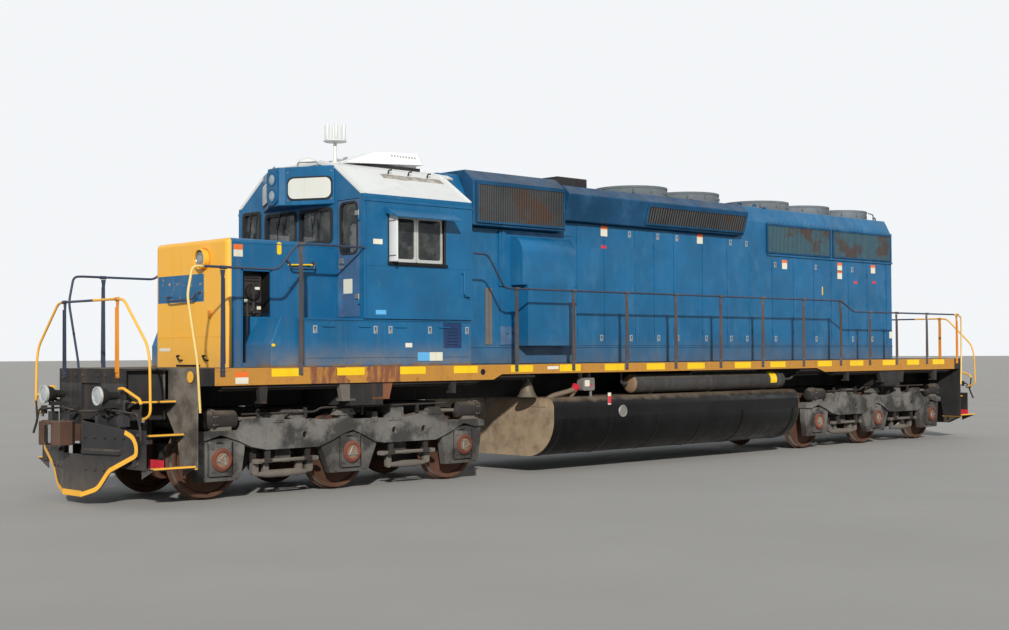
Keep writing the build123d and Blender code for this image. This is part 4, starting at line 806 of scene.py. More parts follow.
# Brackets and hangers below the sill, columns: place, half width, bottom, finish. Those over the rear truck
# take the dark finish as painted shade under the sill.
BRACKETS = (
    (8.29, 0.07, 1.26, 2), (6.93, 0.16, 1.26, 6), (6.38, 0.21, 1.27, 5), (-6.38, 0.21, 1.27, 2),
    (-6.93, 0.16, 1.26, 2), (-8.3, 0.07, 1.28, 2), (5.05, 0.05, 1.32, 2), (-5.05, 0.05, 1.32, 2),
)
# Steps, columns: top of the tread, half width of its nosing
STEPS = ((0.50, 1.52), (0.885, 1.24), (1.29, 1.05))


def sill_fittings():
    shape = Shape()
    shape.walls(0, SIDE, [(0.002, x - 0.23, x + 0.23, 1.588, 1.69) for x in STRIPS])
    # Round hole through the sill, a dark disc painted as the shade inside it, with a rolled lip
    shape.finish = 1
    hole = (4.516, SIDE, 1.60)
    shape.lathe([(0, 0.034), (0.002, 0.034)], hole, "y", 20)
    shape.finish = 2
    shape.ring([(0, 0.046), (0.005, 0.044), (0.005, 0.036), (0, 0.034)], hole, "y", 24)
    # Blank label on the sill's front end, orange over white, and a small pale one
    shape.walls(3, SIDE, [(0.002, 8.54, 8.73, 1.505, 1.585), (0.003, 2.94, 3.18, 1.622, 1.668)])
    shape.walls(4, SIDE, [(0.002, 8.54, 8.73, 1.587, 1.655)])
    for x, half, low, finish in BRACKETS:
        shape.finish = finish
        shape.prism(taper(x, half, 1.50, half * 0.7, low), "y", SIDE - 0.11, SIDE - 0.035)
        shape.box(x - half * 0.7, x + half * 0.7, SIDE - 0.16, SIDE - 0.03, low - 0.015, low + 0.015)
    # Pipes along the underside of the sill, columns: depth, height
    for y, z in ((SIDE - 0.06, 1.46), (SIDE - 0.12, 1.43)):
        for ends in ((8.9, 4.6, 4.4, 3.4), (-8.9, -4.6, -4.4, -3.5)):
            heights = (z, z, z + 0.06, z + 0.06)
            shape.tube([(x, y, height) for x, height in zip(ends, heights)], 0.017, 8, bend=0.08)
    shape.mirror()
    shape.piece("sill_fittings", [BRIGHT, SHADE_AND_BLACK, DARK_CAST, LABEL, LABEL_ORANGE, RUSTY, GREY_CAST])


def step_fittings():
    """Yellow nosings with open grips, brackets under the treads, and the well's trim."""
    shape = Shape()
    inner, outer = STEP_X + 0.018, BODY_END - 0.032
    grips = 9
    for top, nosing in STEPS:
        shape.finish = 0
        shape.box(inner, outer, nosing - 0.035, nosing + 0.006, top - 0.006, top + 0.014)
        for k in range(grips):
            x = inner + (outer - inner) * (k + 0.5) / grips
            shape.box(x - 0.018, x + 0.018, nosing - 0.10, nosing - 0.035, top, top + 0.012)
        shape.finish = 1
        for x in (inner, outer - 0.008):
            shape.prism([(nosing - 0.02, top - 0.02), (nosing - 0.29, top - 0.02),
                         (nosing - 0.29, top - 0.13)],
                        "x", x, x + 0.008)
        # Small dark discs on the brackets, holes painted as shade
        shape.finish = 3
        for k in range(3):
            shape.lathe([(0, 0.012), (-0.001, 0.012)],
                        (outer - 0.0085, nosing - 0.11 - 0.06 * k, top - 0.045),
                        "x", 10)
    # Yellow lower edge of the rear plate, and a round marker
    shape.finish = 0
    shape.box(STEP_X - 0.004, STEP_X + 0.022, 1.10, SIDE + 0.004, 0.468, 0.482)
    shape.lathe([(0, 0.072), (0.004, 0.072)], (STEP_X + 0.016, SIDE - 0.13, 1.60), "x", 24)
    shape.finish = 2
    shape.box(STEP_X + 0.420, STEP_X + 0.426, 1.10, 1.46, 0.485, 0.60)
    # Bolts on the end plates
    shape.finish = 1
    for y, z in ((0.75, 1.58), (0.95, 0.9), (1.2, 0.9), (1.2, 0.55), (0.72, 0.9), (0.4, 1.62), (0.2, 1.62)):
        shape.bolt((BODY_END, y, z), "x", 0.02)
    shape.mirror("yx")
    shape.piece("step_fittings", [YELLOW, BLACK, RED, SHADE_AND_BLACK])


sill_fittings()
step_fittings()


# Pilots: yellow border on the plow, cut levers, brackets

PLOW_REACH = BODY_END + 0.25
PLOW_SLOPE = 0.22
PLOW_INNER = 0.235
PLOW_EDGE = [(1.05, 0.96), (1.20, 0.90), (1.27, 0.79), (1.27, 0.64), (0.78, 0.437), (0.74, 0.40),
             (0.56, 0.20),
             (0.235, 0.11)]


def inset(points, width):
    """The same open line, moved to its right by a width."""
    moved = []
    for k, here in enumerate(points):
        before, after = points[max(k - 1, 0)], points[min(k + 1, len(points) - 1)]
        way = (Vector(after) - Vector(before)).normalized()
        moved.append((here[0] + way.y * width, here[1] - way.x * width))
    return moved


def plow_spot(half, z, out=0.0):
    """Point on the plow's face, out from it."""
    along = (half - PLOW_INNER) / math.hypot(1, PLOW_SLOPE)
    return (PLOW_REACH - PLOW_SLOPE * along + out, PLOW_INNER + along, z)


def pilot_fittings():
    shape = Shape()
    edge = [(p.x, p.y) for p in bent([(half, z, 0) for half, z in PLOW_EDGE], 0.09, 4)]
    inner = inset(edge, 0.055)
    for ring in zip(edge, edge[1:], inner[1:], inner):
        shape.loops([[plow_spot(half, z, out) for half, z in ring] for out in (0.001, 0.006)])
    shape.box(PLOW_REACH - 0.003, PLOW_REACH + 0.003, 0.0, PLOW_INNER + 0.01, 0.112, 0.185)
    shape.finish = 1
    # Bolt rows and a stiffening angle across the plow
    for z, row in ((0.86, (0.32, 0.5, 0.68, 0.86, 1.02)), (0.46, (0.32, 0.5, 0.66))):
        for half in row:
            shape.bolt(plow_spot(half, z), "x", 0.02, 0.015)
    section = ((0.66, 0.0), (0.66, 0.05), (0.70, 0.05), (0.72, 0.0))
    shape.loops([[plow_spot(half, z, out) for z, out in section] for half in (0.30, 0.98)])
    # Plate below the draft pocket, then boxes and brackets round it
    shape.box(BODY_END, BODY_END + 0.02, 0.0, 0.45, 0.42, 0.742)
    shape.box(BODY_END, BODY_END + 0.05, 0.30, 0.62, 1.12, 1.22)
    shape.box(BODY_END, BODY_END + 0.12, 0.34, 0.42, 0.98, 1.12)
    shape.box(BODY_END, BODY_END + 0.09, 0.88, 1.0, 1.0, 1.14)
    shape.tube([(BODY_END, 0.95, 1.30), (BODY_END + 0.05, 0.95, 1.30), (BODY_END + 0.05, 0.95, 1.05)], 0.02,
               8,
               0.03)
    shape.mirror()
    shape.piece("pilot_fittings", [YELLOW, PLOW_BLACK], 0.003)


def cut_levers():
    """Uncoupling levers across both ends, yellow at their handles."""
    shape = Shape()
    x = BODY_END + 0.07
    shape.tube([(x, 1.36, 1.02), (x, 1.30, 1.16), (x + 0.02, 0.62, 1.20), (x + 0.02, 0.24, 1.17),
                (x + 0.16, 0.14, 1.17)], 0.013, 8, bend=0.05)
    shape.tube([(x + 0.02, 1.43, 0.84), (x, 1.38, 0.98), (x, 1.36, 1.03)], 0.017, 8, bend=0.05)
    shape.tube([(x, 1.40, 1.285), (x, 1.36, 1.02)], 0.014, 8)
    # Bearings of the lever, columns: place across, distance from its bracket's tip
    for y, out in ((1.22, 0.003), (0.55, 0.02)):
        shape.bar(0.02, 0.026, (x + out, y, 1.165 + (1.22 - y) * 0.05), "y", 12)
        shape.box(BODY_END, x + 0.01, y - 0.012, y + 0.012, 1.10, 1.21)
    shape.finish = 1
    shape.tube([(x, 0.86, 1.46), (x, 0.96, 1.47), (x, 1.36, 1.34), (x, 1.40, 1.28)], 0.019, 10, bend=0.05)
    shape.mirror("yx")
    shape.piece("cut_levers", [DARK_CAST, YELLOW])


pilot_fittings()
cut_levers()


def coupler_fittings(end, way):
    """Knuckle, pin and lock on a coupler's head."""
    shape = Shape(x=way * 10.49, z=0.904, way=way)
    shape.lathe([(-0.15, 0.052), (0.155, 0.052), (0.162, 0.04)], (-0.07, -0.19, 0), "z", 20)
    shape.lathe([(0.15, 0.03), (0.165, 0.03)], (-0.21, 0.02, 0), "z", 12)
    for z in (-0.144, 0.126):
        shape.prism(rounded(-0.1, 0.12, 0.14, 0.06, 0.02, 3), "z", z, z + 0.02)
    shape.box(-0.40, -0.30, -0.10, 0.10, -0.104, 0.106)
    # Dark plate on the head's face, painted as the shade in the slot at the knuckle
    shape.finish = 1
    shape.prism(rounded(-0.03, 0, 0.09, 0.22, 0.03, 4), "x", -0.002, 0.001)
    shape.finish = 2
    shape.prism(rounded(0.07, 0, 0.07, 0.23, 0.02, 4), "x", -0.004, 0.002)
    shape.piece(f"coupler_fittings_{end}", [COUPLER, SHADE_AND_BLACK, STEEL], body=f"coupler_{end}")


coupler_fittings("front", 1)
coupler_fittings("rear", -1)


# Fuel tank, air reservoirs and bell

def tank_fittings():
    shape = Shape()
    low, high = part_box("fuel_tank")
    bend, gauge = 0.58, (1.48, SIDE - 0.01, 0.935)
    # Straps round the shell's lower edge
    for x in (2.9, 1.75, 0.6, -0.55, -1.7, -3.2):
        near, far = (circle(SIDE - bend, low.z + bend, radius, 48, -90)[:13] for radius in (bend,
                                                                                            bend + 0.006))
        for outline in zip(near, near[1:], far[1:], far):
            shape.prism(outline, "x", x - 0.03, x + 0.03)
    # Filler pipe from the tank's top to the neck, and the neck with its red cap
    shape.tube([(3.0, 1.24, 1.10), (2.86, 1.28, 1.20), (2.52, 1.33, 1.27), (2.41, 1.345, 1.30)], 0.04, 14,
               bend=0.10)
    foot, tip = Vector((2.39, 1.20, 1.12)), Vector((2.39, 1.356, 1.328))
    way = (tip - foot).normalized()
    # Columns: finish, start and end from the tip, radius, sides
    for finish, start, end, radius, sides in ((0, -0.06, -0.02, 0.054, 20), (3, -0.02, 0.035, 0.062, 20),
                                              (3, 0.03, 0.05, 0.03, 12)):
        shape.finish = finish
        shape.tube([tip + way * start, tip + way * end], radius, sides)
    # End flanges on the tank
    shape.finish = 0
    for x, way in ((high.x, 1), (low.x, -1)):
        for y in (0.3, 0.62, 0.94, 1.22):
            shape.bolt((x, y, 1.10), "x", way * 0.02, 0.014)
        shape.box(x, x + way * 0.012, 0.02, 1.36, 1.04, 1.16)
    # Gauge box, round gauge and a narrow plate with a red scale
    shape.finish = 4
    shape.prism(rounded(2.14, 1.375, 0.27, 0.20, 0.03, 3), "y", 1.28, 1.41)
    shape.box(2.03, 2.06, 1.28, 1.34, 1.45, 1.62)
    shape.box(2.22, 2.25, 1.28, 1.34, 1.45, 1.62)
    shape.box(2.05, 2.08, 1.36, 1.39, 1.14, 1.29)
    shape.lathe([(0.029, 0.071), (0.033, 0.068), (0.034, 0.02)], gauge, "y", 28)
    shape.finish = 1
    shape.lathe([(0, 0.098), (0.028, 0.098), (0.036, 0.086), (0.030, 0.072)], gauge, "y")
    shape.finish = 2
    shape.prism(rounded(2.18, 1.39, 0.11, 0.10, 0.015, 3), "y", 1.41, 1.414)
    shape.box(1.75, 1.82, SIDE - 0.004, SIDE + 0.003, 1.045, 1.235)
    shape.finish = 3
    shape.box(2.05, 2.10, 1.41, 1.413, 1.34, 1.38)
    shape.box(1.75, 1.82, SIDE, SIDE + 0.005, 1.062, 1.182)
    shape.mirror()
    shape.piece("tank_fittings", [TANK_BLACK, STEEL, LABEL, RED, TANK_GREY, RUSTY], 0.002)


def reservoir_fittings():
    """Domed ends, bands, valves and pipes of the air reservoirs."""
    shape = Shape()
    low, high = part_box("main_reservoirs")
    y, z = 1.25, 1.362
    for x in (0.48, -1.07, -2.62):
        shape.ring([(-0.03, 0.156), (-0.03, 0.162), (0.03, 0.162), (0.03, 0.156)], (x, y, z), "x")
    shape.tube([(high.x + 0.08, y, z), (high.x + 0.22, y, z), (high.x + 0.22, y, 1.58), (3.0, y, 1.58)],
               0.02, 10, bend=0.06)
    shape.bar(0.03, 0.035, (high.x + 0.14, y, z), "x", 6)
    shape.tube([(low.x - 0.08, y, z), (-3.5, y, z), (-3.62, y, z + 0.08), (-4.4, y, z + 0.08)], 0.02, 10,
               bend=0.05)
    shape.tube([(-0.4, 1.38, 1.49), (-0.4, 1.43, 1.54), (-2.2, 1.43, 1.54)], 0.014, 8, bend=0.03)
    shape.finish = 1
    near, far = (circle(y, z, radius, 36, -20)[:10] for radius in (0.156, 0.160))
    shape.prism(near + far[::-1], "x", -2.87, -2.68)
    shape.finish = 2
    for x, way in ((high.x, 1), (low.x, -1)):
        dome = ((0, 0.153), (0.014, 0.146), (0.03, 0.12), (0.04, 0.08), (0.044, 0.02))
        shape.lathe([(way * along, radius) for along, radius in dome], (x, y, z), "x")
    shape.mirror()
    shape.piece("reservoir_fittings", [BLACK, BRIGHT, RIM_TAN])


def bell_fittings():
    """Rim and hanger of the bell."""
    shape = Shape(3.25, 1.15, 1.195)
    shape.ring([(0.0, 0.152), (0.012, 0.156), (0.024, 0.150), (0.0, 0.148)], (0, 0, 0), "z", 40)
    shape.finish = 1
    for way in (1, -1):
        shape.tube([(way * 0.05, 0, 0.24), (way * 0.10, 0, 0.30), (way * 0.10, 0, 0.485)], 0.018, 8,
                   bend=0.04)
    shape.bar(0.10, 0.02, (0, 0, 0.25), "x", 12)
    shape.piece("bell_fittings", [CAST_GOLD, DARK_CAST])


tank_fittings()
reservoir_fittings()
bell_fittings()


# Hood: latches, hinges, seams, labels, lifting eyes

DOOR_BOTTOM = 1.985
# Hinge edges of the doors, and the doors' top
DOOR_ROWS = (((1.90, 1.25, 0.48, -0.01, -0.53, -1.325, -2.035), 3.93),
             ((-2.76, -3.40, -4.08, -4.75, -5.35, -5.954, -6.635), 3.64))
# Latches near the doors' free edges, columns: height, places
LATCHES = ((2.11, (1.322, 0.592, -0.121, -0.627, -1.426, -2.142, -2.619, -3.503, -4.831, -6.102, -6.811)),
           (3.85, (0.613, -0.115, -0.627, -2.142, -2.619)), (3.50, (-3.503, -4.831, -6.102)))
# Blank labels on the hood, columns: place, height
LABELS = ((1.246, 3.872), (-1.261, 3.872), (-3.803, 3.515), (-5.66, 3.537), (-5.656, 3.386),
          (-6.867, 3.539))
RED_TAGS = ((1.256, 3.613), (-6.218, 3.248), (-6.90, 3.269))


def latch(shape, x, z, face):
    """A pale keeper with a slot painted dark as shade, and a steel handle."""
    shape.walls(0, face, [(0.006, x - 0.032, x + 0.032, z - 0.052, z + 0.052)])
    shape.walls(1, face + 0.006, [(0.002, x - 0.014, x + 0.014, z - 0.012, z + 0.034)])
    shape.walls(2, face + 0.006, [(0.016, x - 0.006, x + 0.006, z - 0.04, z + 0.02)])


def hood_fittings():
    shape = Shape()
    face = HOOD_SIDE + 0.008
    for z, places in LATCHES:
        for x in places:
            latch(shape, x, z, face)
    # Edge strip over the base, upright seam covers, then strips round the radiators
    shape.walls(3, HOOD_SIDE, [(0.012, HOOD_REAR + 0.02, 4.69, 1.958, 1.975)])
    shape.walls(3, HOOD_SIDE, [(0.010, x - 0.03, x + 0.03, 1.99, 3.70) for x in (2.02, 3.575, -2.73,
                                                                                 -7.40)])
    shape.walls(3, HOOD_SIDE, [(0.012, x - 0.022, x + 0.022, 3.68, 4.29) for x in (-3.28, -5.375, -7.56)])
    shape.walls(3, HOOD_SIDE, [(0.016, -7.58, -3.26, 4.265, 4.295), (0.03, -7.58, -3.26, 3.665, 3.695)])
    for edges, top in DOOR_ROWS:
        for x in edges:
            for z in (DOOR_BOTTOM + 0.25, (DOOR_BOTTOM + top) / 2, top - 0.25):
                shape.bar(0.05, 0.011, (x - 0.012, face + 0.004, z), "z")
    # Small bolts along the hood's top edge
    for k in range(28):
        shape.lathe([(0, 0.011), (0.008, 0.011)], (-3.35 - 0.15 * k, HOOD_SIDE, 4.32), "y", 8)
    shape.mirror()
    shape.piece("hood_fittings", [LATCH, SHADE_AND_BLACK, STEEL, BLUE])
    tags = Shape()
    tags.walls(0, face, [(0.002, x - 0.08, x + 0.08, z - 0.085, z + 0.03) for x, z in LABELS])
    tags.walls(1, face, [(0.002, x - 0.08, x + 0.08, z + 0.032, z + 0.085) for x, z in LABELS])
    tags.walls(0, HOOD_SIDE, [(0.002, -7.58, -7.47, 2.13, 2.27)])
    tags.walls(3, face, [(0.002, -5.065, -5.035, 2.97, 3.13)])
    tags.finish = 2
    for x, z in RED_TAGS:
        tags.prism(rounded(x, z, 0.13, 0.055, 0.024, 3), "y", face, face + 0.002)
    tags.mirror()
    tags.piece("hood_labels", [LABEL, LABEL_ORANGE, RED, BRIGHT])


def duct_fittings():
    """Seams and the upright post at the blower duct, and a rusty door edge behind the cab."""
    shape = Shape()
    low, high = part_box("blower_duct")
    shape.walls(0, high.y, [(0.004, low.x, 3.27, 2.905, 2.917), (0.004, low.x, high.x, 3.15, 3.16),
                            (0.004, low.x, low.x + 0.03, low.z, 3.40)])
    shape.walls(0, HOOD_SIDE, [(0.035, 3.50, 3.64, 2.90, 3.76), (0.05, 3.545, 3.595, 2.90, 3.76),
                               (0.012, 2.02, 4.69, 3.742, 3.765)])
    shape.walls(1, HOOD_SIDE, [(0.02, 3.86, 3.92, 2.0, 2.86), (0.012, 3.78, 3.84, 2.0, 2.86)])
    shape.walls(2, HOOD_SIDE, [(0.014, 3.29, 3.61, 2.0, 2.28)])
    shape.walls(2, HOOD_SIDE + 0.014, [(0.02, 3.30, 3.36, 2.17, 2.19), (0.02, 3.44, 3.50, 2.17, 2.19)])
    shape.piece("duct_fittings", [BLUE, GREY_CAST, WORN_BLUE], 0.003)


def roof_fittings():
    """Seams of the hatch, lifting eyes, small plates and the rear end's fittings."""
    shape = Shape()
    top = 4.58
    for x in (1.95, 0.30, -1.25, -2.37):
        shape.box(x - 0.02, x + 0.02, -0.78, 0.78, top - 0.005, top + 0.012)
    for x in (2.10, -2.85, -3.30, -7.45):
        for y in (0.62, -0.62):
            shape.ring([(-0.012, 0.05), (0.012, 0.05), (0.012, 0.028), (-0.012, 0.028)], (x, y, top + 0.03),
                       "y", 20)
    shape.box(-3.42, -3.36, -0.80, 0.80, 4.565, 4.585)
    shape.box(1.75, 2.15, -0.35, 0.35, top - 0.005, top + 0.05)
    shape.finish = 1
    shape.tube([(-7.52, 0.55, 4.57), (-7.52, 0.55, 4.72), (-7.34, 0.55, 4.74)], 0.014, 8, bend=0.04)
    shape.lathe([(0, 0.05), (0.03, 0.05), (0.05, 0.02)], (-7.50, -0.3, 4.57), "z", 20)
    shape.piece("roof_fittings", [ROOF_BLUE, STEEL], 0.004)


def grille(node, spans, pitch, foot, low, high, lean=0.0):
    """Close upright slats in a frame, on both walls.
    foot is the half width at low, and lean adds to it upward."""
    shape = Shape()

    def plate(finish, near, far, shift, *ends):
        shape.finish = finish
        shape.loops([[(x + move, foot + (z - low) * lean + out, z) for x, z in rectangle(*ends)]
                     for out, move in ((near, 0.0), (far, shift))])

    for rear, front in spans:
        # A dark sheet behind the slats, painted as the shade inside the opening
        plate(1, 0.0, 0.006, 0.0, rear, front, low, high)
        count = int((front - rear) / pitch)
        for k in range(count):
            x = rear + (k + 0.5) * (front - rear) / count
            plate(0, 0.006, 0.024, pitch * 0.1, x - pitch * 0.22, x + pitch * 0.22, low + 0.02, high - 0.02)
        for ends in ((rear, rear + 0.03, low, high), (front - 0.03, front, low, high),
                     (rear + 0.03, front - 0.03, low, low + 0.03),
                     (rear + 0.03, front - 0.03, high - 0.03, high)):
            plate(2, 0.0, 0.03, 0.0, *ends)
    shape.mirror()
    shape.piece(f"{node}_slats", [GRILLE, SHADE_AND_BLACK, ROOF_BLUE], replaces=[node])


HATCH_LEAN = 0.12 / 0.42

hood_fittings()
duct_fittings()
roof_fittings()
grille("filter_grilles", [(2.36, 4.25)], 0.037, 1.10, 3.83, 4.44)
grille("brake_grilles", [(-2.35, 0.37)], 0.062, 1.05 + 0.04 * HATCH_LEAN, 4.02, 4.35, HATCH_LEAN)
grille("radiator_grilles", [(-5.33, -3.24), (-7.53, -5.42)], 0.042, HOOD_SIDE, 3.71, 4.26)


# Fans: guards over the rings, and blades with a twist

FAN_SEATS = [(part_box(f"fan_{n}")[0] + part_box(f"fan_{n}")[1]) / 2 for n in range(1, 6)]
RING_RADIUS = 0.64


def fan_guards():
    """Rolled lips, and guards of rings and spokes over the fans."""
    shape = Shape()
    for number, seat in enumerate(FAN_SEATS):
        top = 4.77 if number < 2 else 4.76
        hub = (seat.x, 0, top)
        shape.finish = 0
        # Profiles, columns: height, distance from the ring's radius
        for profile in (((-0.035, -0.002), (-0.035, 0.008), (0.004, 0.008), (0.004, -0.042),
                         (-0.002, -0.042)),
                        ((-0.17, 0.001), (-0.17, 0.01), (-0.155, 0.01), (-0.155, 0.001))):
            shape.ring([(along, RING_RADIUS + out) for along, out in profile], hub, "z", 64)
        for x, y in circle(seat.x, 0, 0.645, 12, 15):
            shape.box(x - 0.012, x + 0.012, y - 0.012, y + 0.012, top - 0.12, top - 0.06)
        shape.finish = 1
        for near, far in zip(circle(seat.x, 0, 0.12, 12), circle(seat.x, 0, 0.61, 12)):
            shape.tube([(*near, top - 0.012), (*far, top - 0.012)], 0.007, 6)
        for radius in (0.12, 0.26, 0.40, 0.52):
            shape.frame(circle(seat.x, 0, radius, 40), circle(seat.x, 0, radius - 0.01, 40), "z",
                        top - 0.018, top - 0.008)
    shape.piece("fan_guards", [FAN_METAL, STEEL])


def fan(number, seat):
    """Hub and eight blades. Columns of a blade: radius, angle, chord."""
    shape = Shape(seat.x, 0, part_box(f"fan_{number}")[0].z)
    shape.lathe([(0.0, 0.15), (0.07, 0.15), (0.085, 0.13), (0.09, 0.05)], (0, 0, 0), "z")
    section = ((-1, 0.0), (-0.3, 0.007), (0.5, 0.006), (1, 0.0), (0.4, -0.003), (-0.4, -0.002))
    for a, b in circle(0, 0, 1, 8):
        out, across = Vector((a, b, 0)), Vector((-b, a, 0))
        rings = []
        for radius, pitch, chord in ((0.13, 52, 0.10), (0.30, 62, 0.13), (0.45, 68, 0.15),
                                     (0.568, 72, 0.15)):
            lean = math.radians(pitch)
            chord_way = across * math.sin(lean) + WAYS["z"] * math.cos(lean)
            thick_way = out.cross(chord_way)
            middle = Vector((0, 0, 0.05)) + out * radius
            rings.append([middle + chord_way * (a * chord / 2) + thick_way * b for a, b in section])
        shape.loops(rings)
    shape.piece(f"fan_blades_{number}", [DARK_CAST], body=f"fan_{number}", replaces=[f"fan_{number}"])


fan_guards()
for number, seat in enumerate(FAN_SEATS, start=1):
    fan(number, seat)


# Short hood: lamp, plates, grab irons, latches

def nose_fittings():
    shape = Shape(x=NOSE_FRONT)
    # Class lamp with a dished lens
    y, z = 0.35, 3.14
    lamp = (0.045, y, z)
    shape.lathe([(-0.045, 0.134), (0.002, 0.134)], lamp, "x", 48)
    shape.ring([(0.0, 0.140), (0.040, 0.137), (0.046, 0.128), (0.040, 0.118), (0.004, 0.116), (0.0, 0.118)],
               lamp, "x", 48)
    for a, b in circle(y, z, 0.128, 6, 30):
        shape.lathe([(0.038, 0.007), (0.052, 0.007)], (0.045, a, b), "x", 8)
    # Columns: finish, sides, profile
    # The second row is a near black ring, painted as the shade in the groove between rim and lens
    for finish, sides, profile in (
            (1, 48, [(-0.044, 0.152), (-0.040, 0.152), (-0.040, 0.133)]),
            (5, 40, [(0.0, 0.116), (0.006, 0.116), (0.006, 0.10)]),
            (6, 40, [(0.006, 0.100), (0.030, 0.096), (0.034, 0.086), (0.024, 0.08), (0.022, 0.052)]),
            (2, 32, [(0.022, 0.050), (0.032, 0.046), (0.036, 0.02)])):
        shape.finish = finish
        shape.lathe(profile, lamp, "x", sides)
    # Grab iron below the band, seam and small plates
    shape.finish = 3
    shape.tube([(0, 0.26, 2.70), (0.07, 0.26, 2.70), (0.07, 0.20, 2.62), (0.07, -0.46, 2.60),
                (0.07, -0.52, 2.66),
                (0, -0.52, 2.66)], 0.014, 8, bend=0.04)
    shape.finish = 0
    shape.box(0, 0.004, -NOSE_SIDE + 0.06, NOSE_SIDE - 0.06, 2.108, 2.118)
    shape.finish = 4
    shape.box(0, 0.003, -0.80, -0.53, 1.92, 1.965)
    shape.finish = 5
    for y in (-0.22, 0.43):
        shape.tube([(0, y - 0.06, 1.86), (0.05, y - 0.06, 1.86), (0.05, y + 0.02, 1.80),
                    (0, y + 0.02, 1.80)],
                   0.011, 8, bend=0.02)
    shape.box(0, 0.012, -0.35, 0.25, 1.715, 1.74)
    shape.finish = 1
    shape.box(0, 0.02, 0.46, 0.53, 2.36, 2.46)
    shape.piece("nose_front_fittings", [YELLOW, POST_ORANGE, LENS, RAIL_GREY, LABEL, SHADE_AND_BLACK, LAMP_GREY])


def nose_side_fittings():
    shape = Shape()
    wall, reach = NOSE_SIDE, NOSE_SIDE + 0.08
    shape.walls(0, wall, [(0.002, 8.225, 8.365, 3.155, 3.245)])
    shape.walls(1, wall, [(0.002, 8.225, 8.365, 3.247, 3.315)])
    shape.walls(4, wall, [(0.012, 7.41, 7.51, 2.77, 2.84), (0.006, 7.77, 7.795, 1.72, 2.99),
                          (0.006, 8.225, 8.25, 1.72, 2.99), (0.006, 7.77, 8.25, 2.975, 2.995),
                          (0.005, 6.75, 8.40, 3.335, 3.345)])
    shape.finish = 2
    shape.prism(rounded(7.652, 3.292, 0.07, 0.17, 0.03, 3), "y", wall, wall + 0.003)
    shape.finish = 3
    shape.tube([(7.55, wall, 3.13), (7.55, reach, 3.13), (7.51, reach, 3.02), (7.13, reach, 3.02),
                (7.12, reach, 3.12), (7.12, wall, 3.12)], 0.013, 8, bend=0.03)
    shape.mirror()
    # Case round the hand brake with its chain, and blank tags, on the left alone
    shape.finish = 6
    shape.prism(rounded(8.015, 2.66, 0.31, 0.55, 0.03, 3), "y", 0.70, 0.80)
    shape.box(7.90, 8.13, 0.80, 0.83, 2.42, 2.50)
    shape.tube([(8.10, 0.83, 2.56), (8.10, 0.845, 2.20), (8.09, 0.84, 2.05)], 0.018, 8, bend=0.05)
    shape.lathe([(0, 0.05), (0.02, 0.05), (0.03, 0.03)], (8.01, 0.84, 2.70), "y", 20)
    shape.tube([(8.03, 0.86, 2.62), (8.03, 0.88, 2.48), (8.07, 0.88, 2.44)], 0.016, 8, bend=0.03)
    for k in range(14):
        shape.ring([(-0.008, 0.022), (0.008, 0.022), (0.008, 0.012), (-0.008, 0.012)],
                   (8.05, 0.79, 2.40 - 0.045 * k), "x" if k % 2 else "y", 10)
    shape.finish = 0
    shape.box(7.93, 8.01, 0.865, 0.867, 2.73, 2.765)
    shape.box(7.89, 7.95, 0.83, 0.833, 2.47, 2.51)
    shape.box(8.10, 8.15, 0.83, 0.833, 2.56, 2.60)
    # Yellow bar over the battery box
    shape.finish = 2
    shape.tube([(7.51, wall + 0.03, 3.074), (7.13, wall + 0.03, 3.088)], 0.011, 8)
    for x in (7.50, 7.14):
        shape.box(x - 0.01, x + 0.01, wall, wall + 0.032, 3.07, 3.09)
    shape.piece("nose_side_fittings", [LABEL, LABEL_ORANGE, BRIGHT, RAIL_GREY, BLUE, STEEL, DARK_CAST])


def hand_brake():
    """Ratchet housing with ribs and a long lever."""
    shape = Shape(y=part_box("hand_brake")[0].y)
    # The housing is near black: its own dark colour, and painted shade of the niche round it
    shape.prism(rounded(8.01, 2.76, 0.26, 0.36, 0.05, 4), "y", 0, 0.115)
    shape.lathe([(0.10, 0.11), (0.16, 0.105), (0.17, 0.09), (0.175, 0.03)], (8.01, 0, 2.70), "y")
    for z in (2.62, 2.66, 2.84, 2.88):
        shape.box(7.90, 8.12, 0.11, 0.128, z, z + 0.012)
    shape.finish = 1
    shape.prism([(8.015, 2.80), (8.045, 2.80), (8.05, 2.41), (8.01, 2.41)], "y", 0.178, 0.203)
    shape.piece("brake_ratchet", [SHADE_AND_BLACK, DARK_CAST], 0.004, replaces=["hand_brake"])


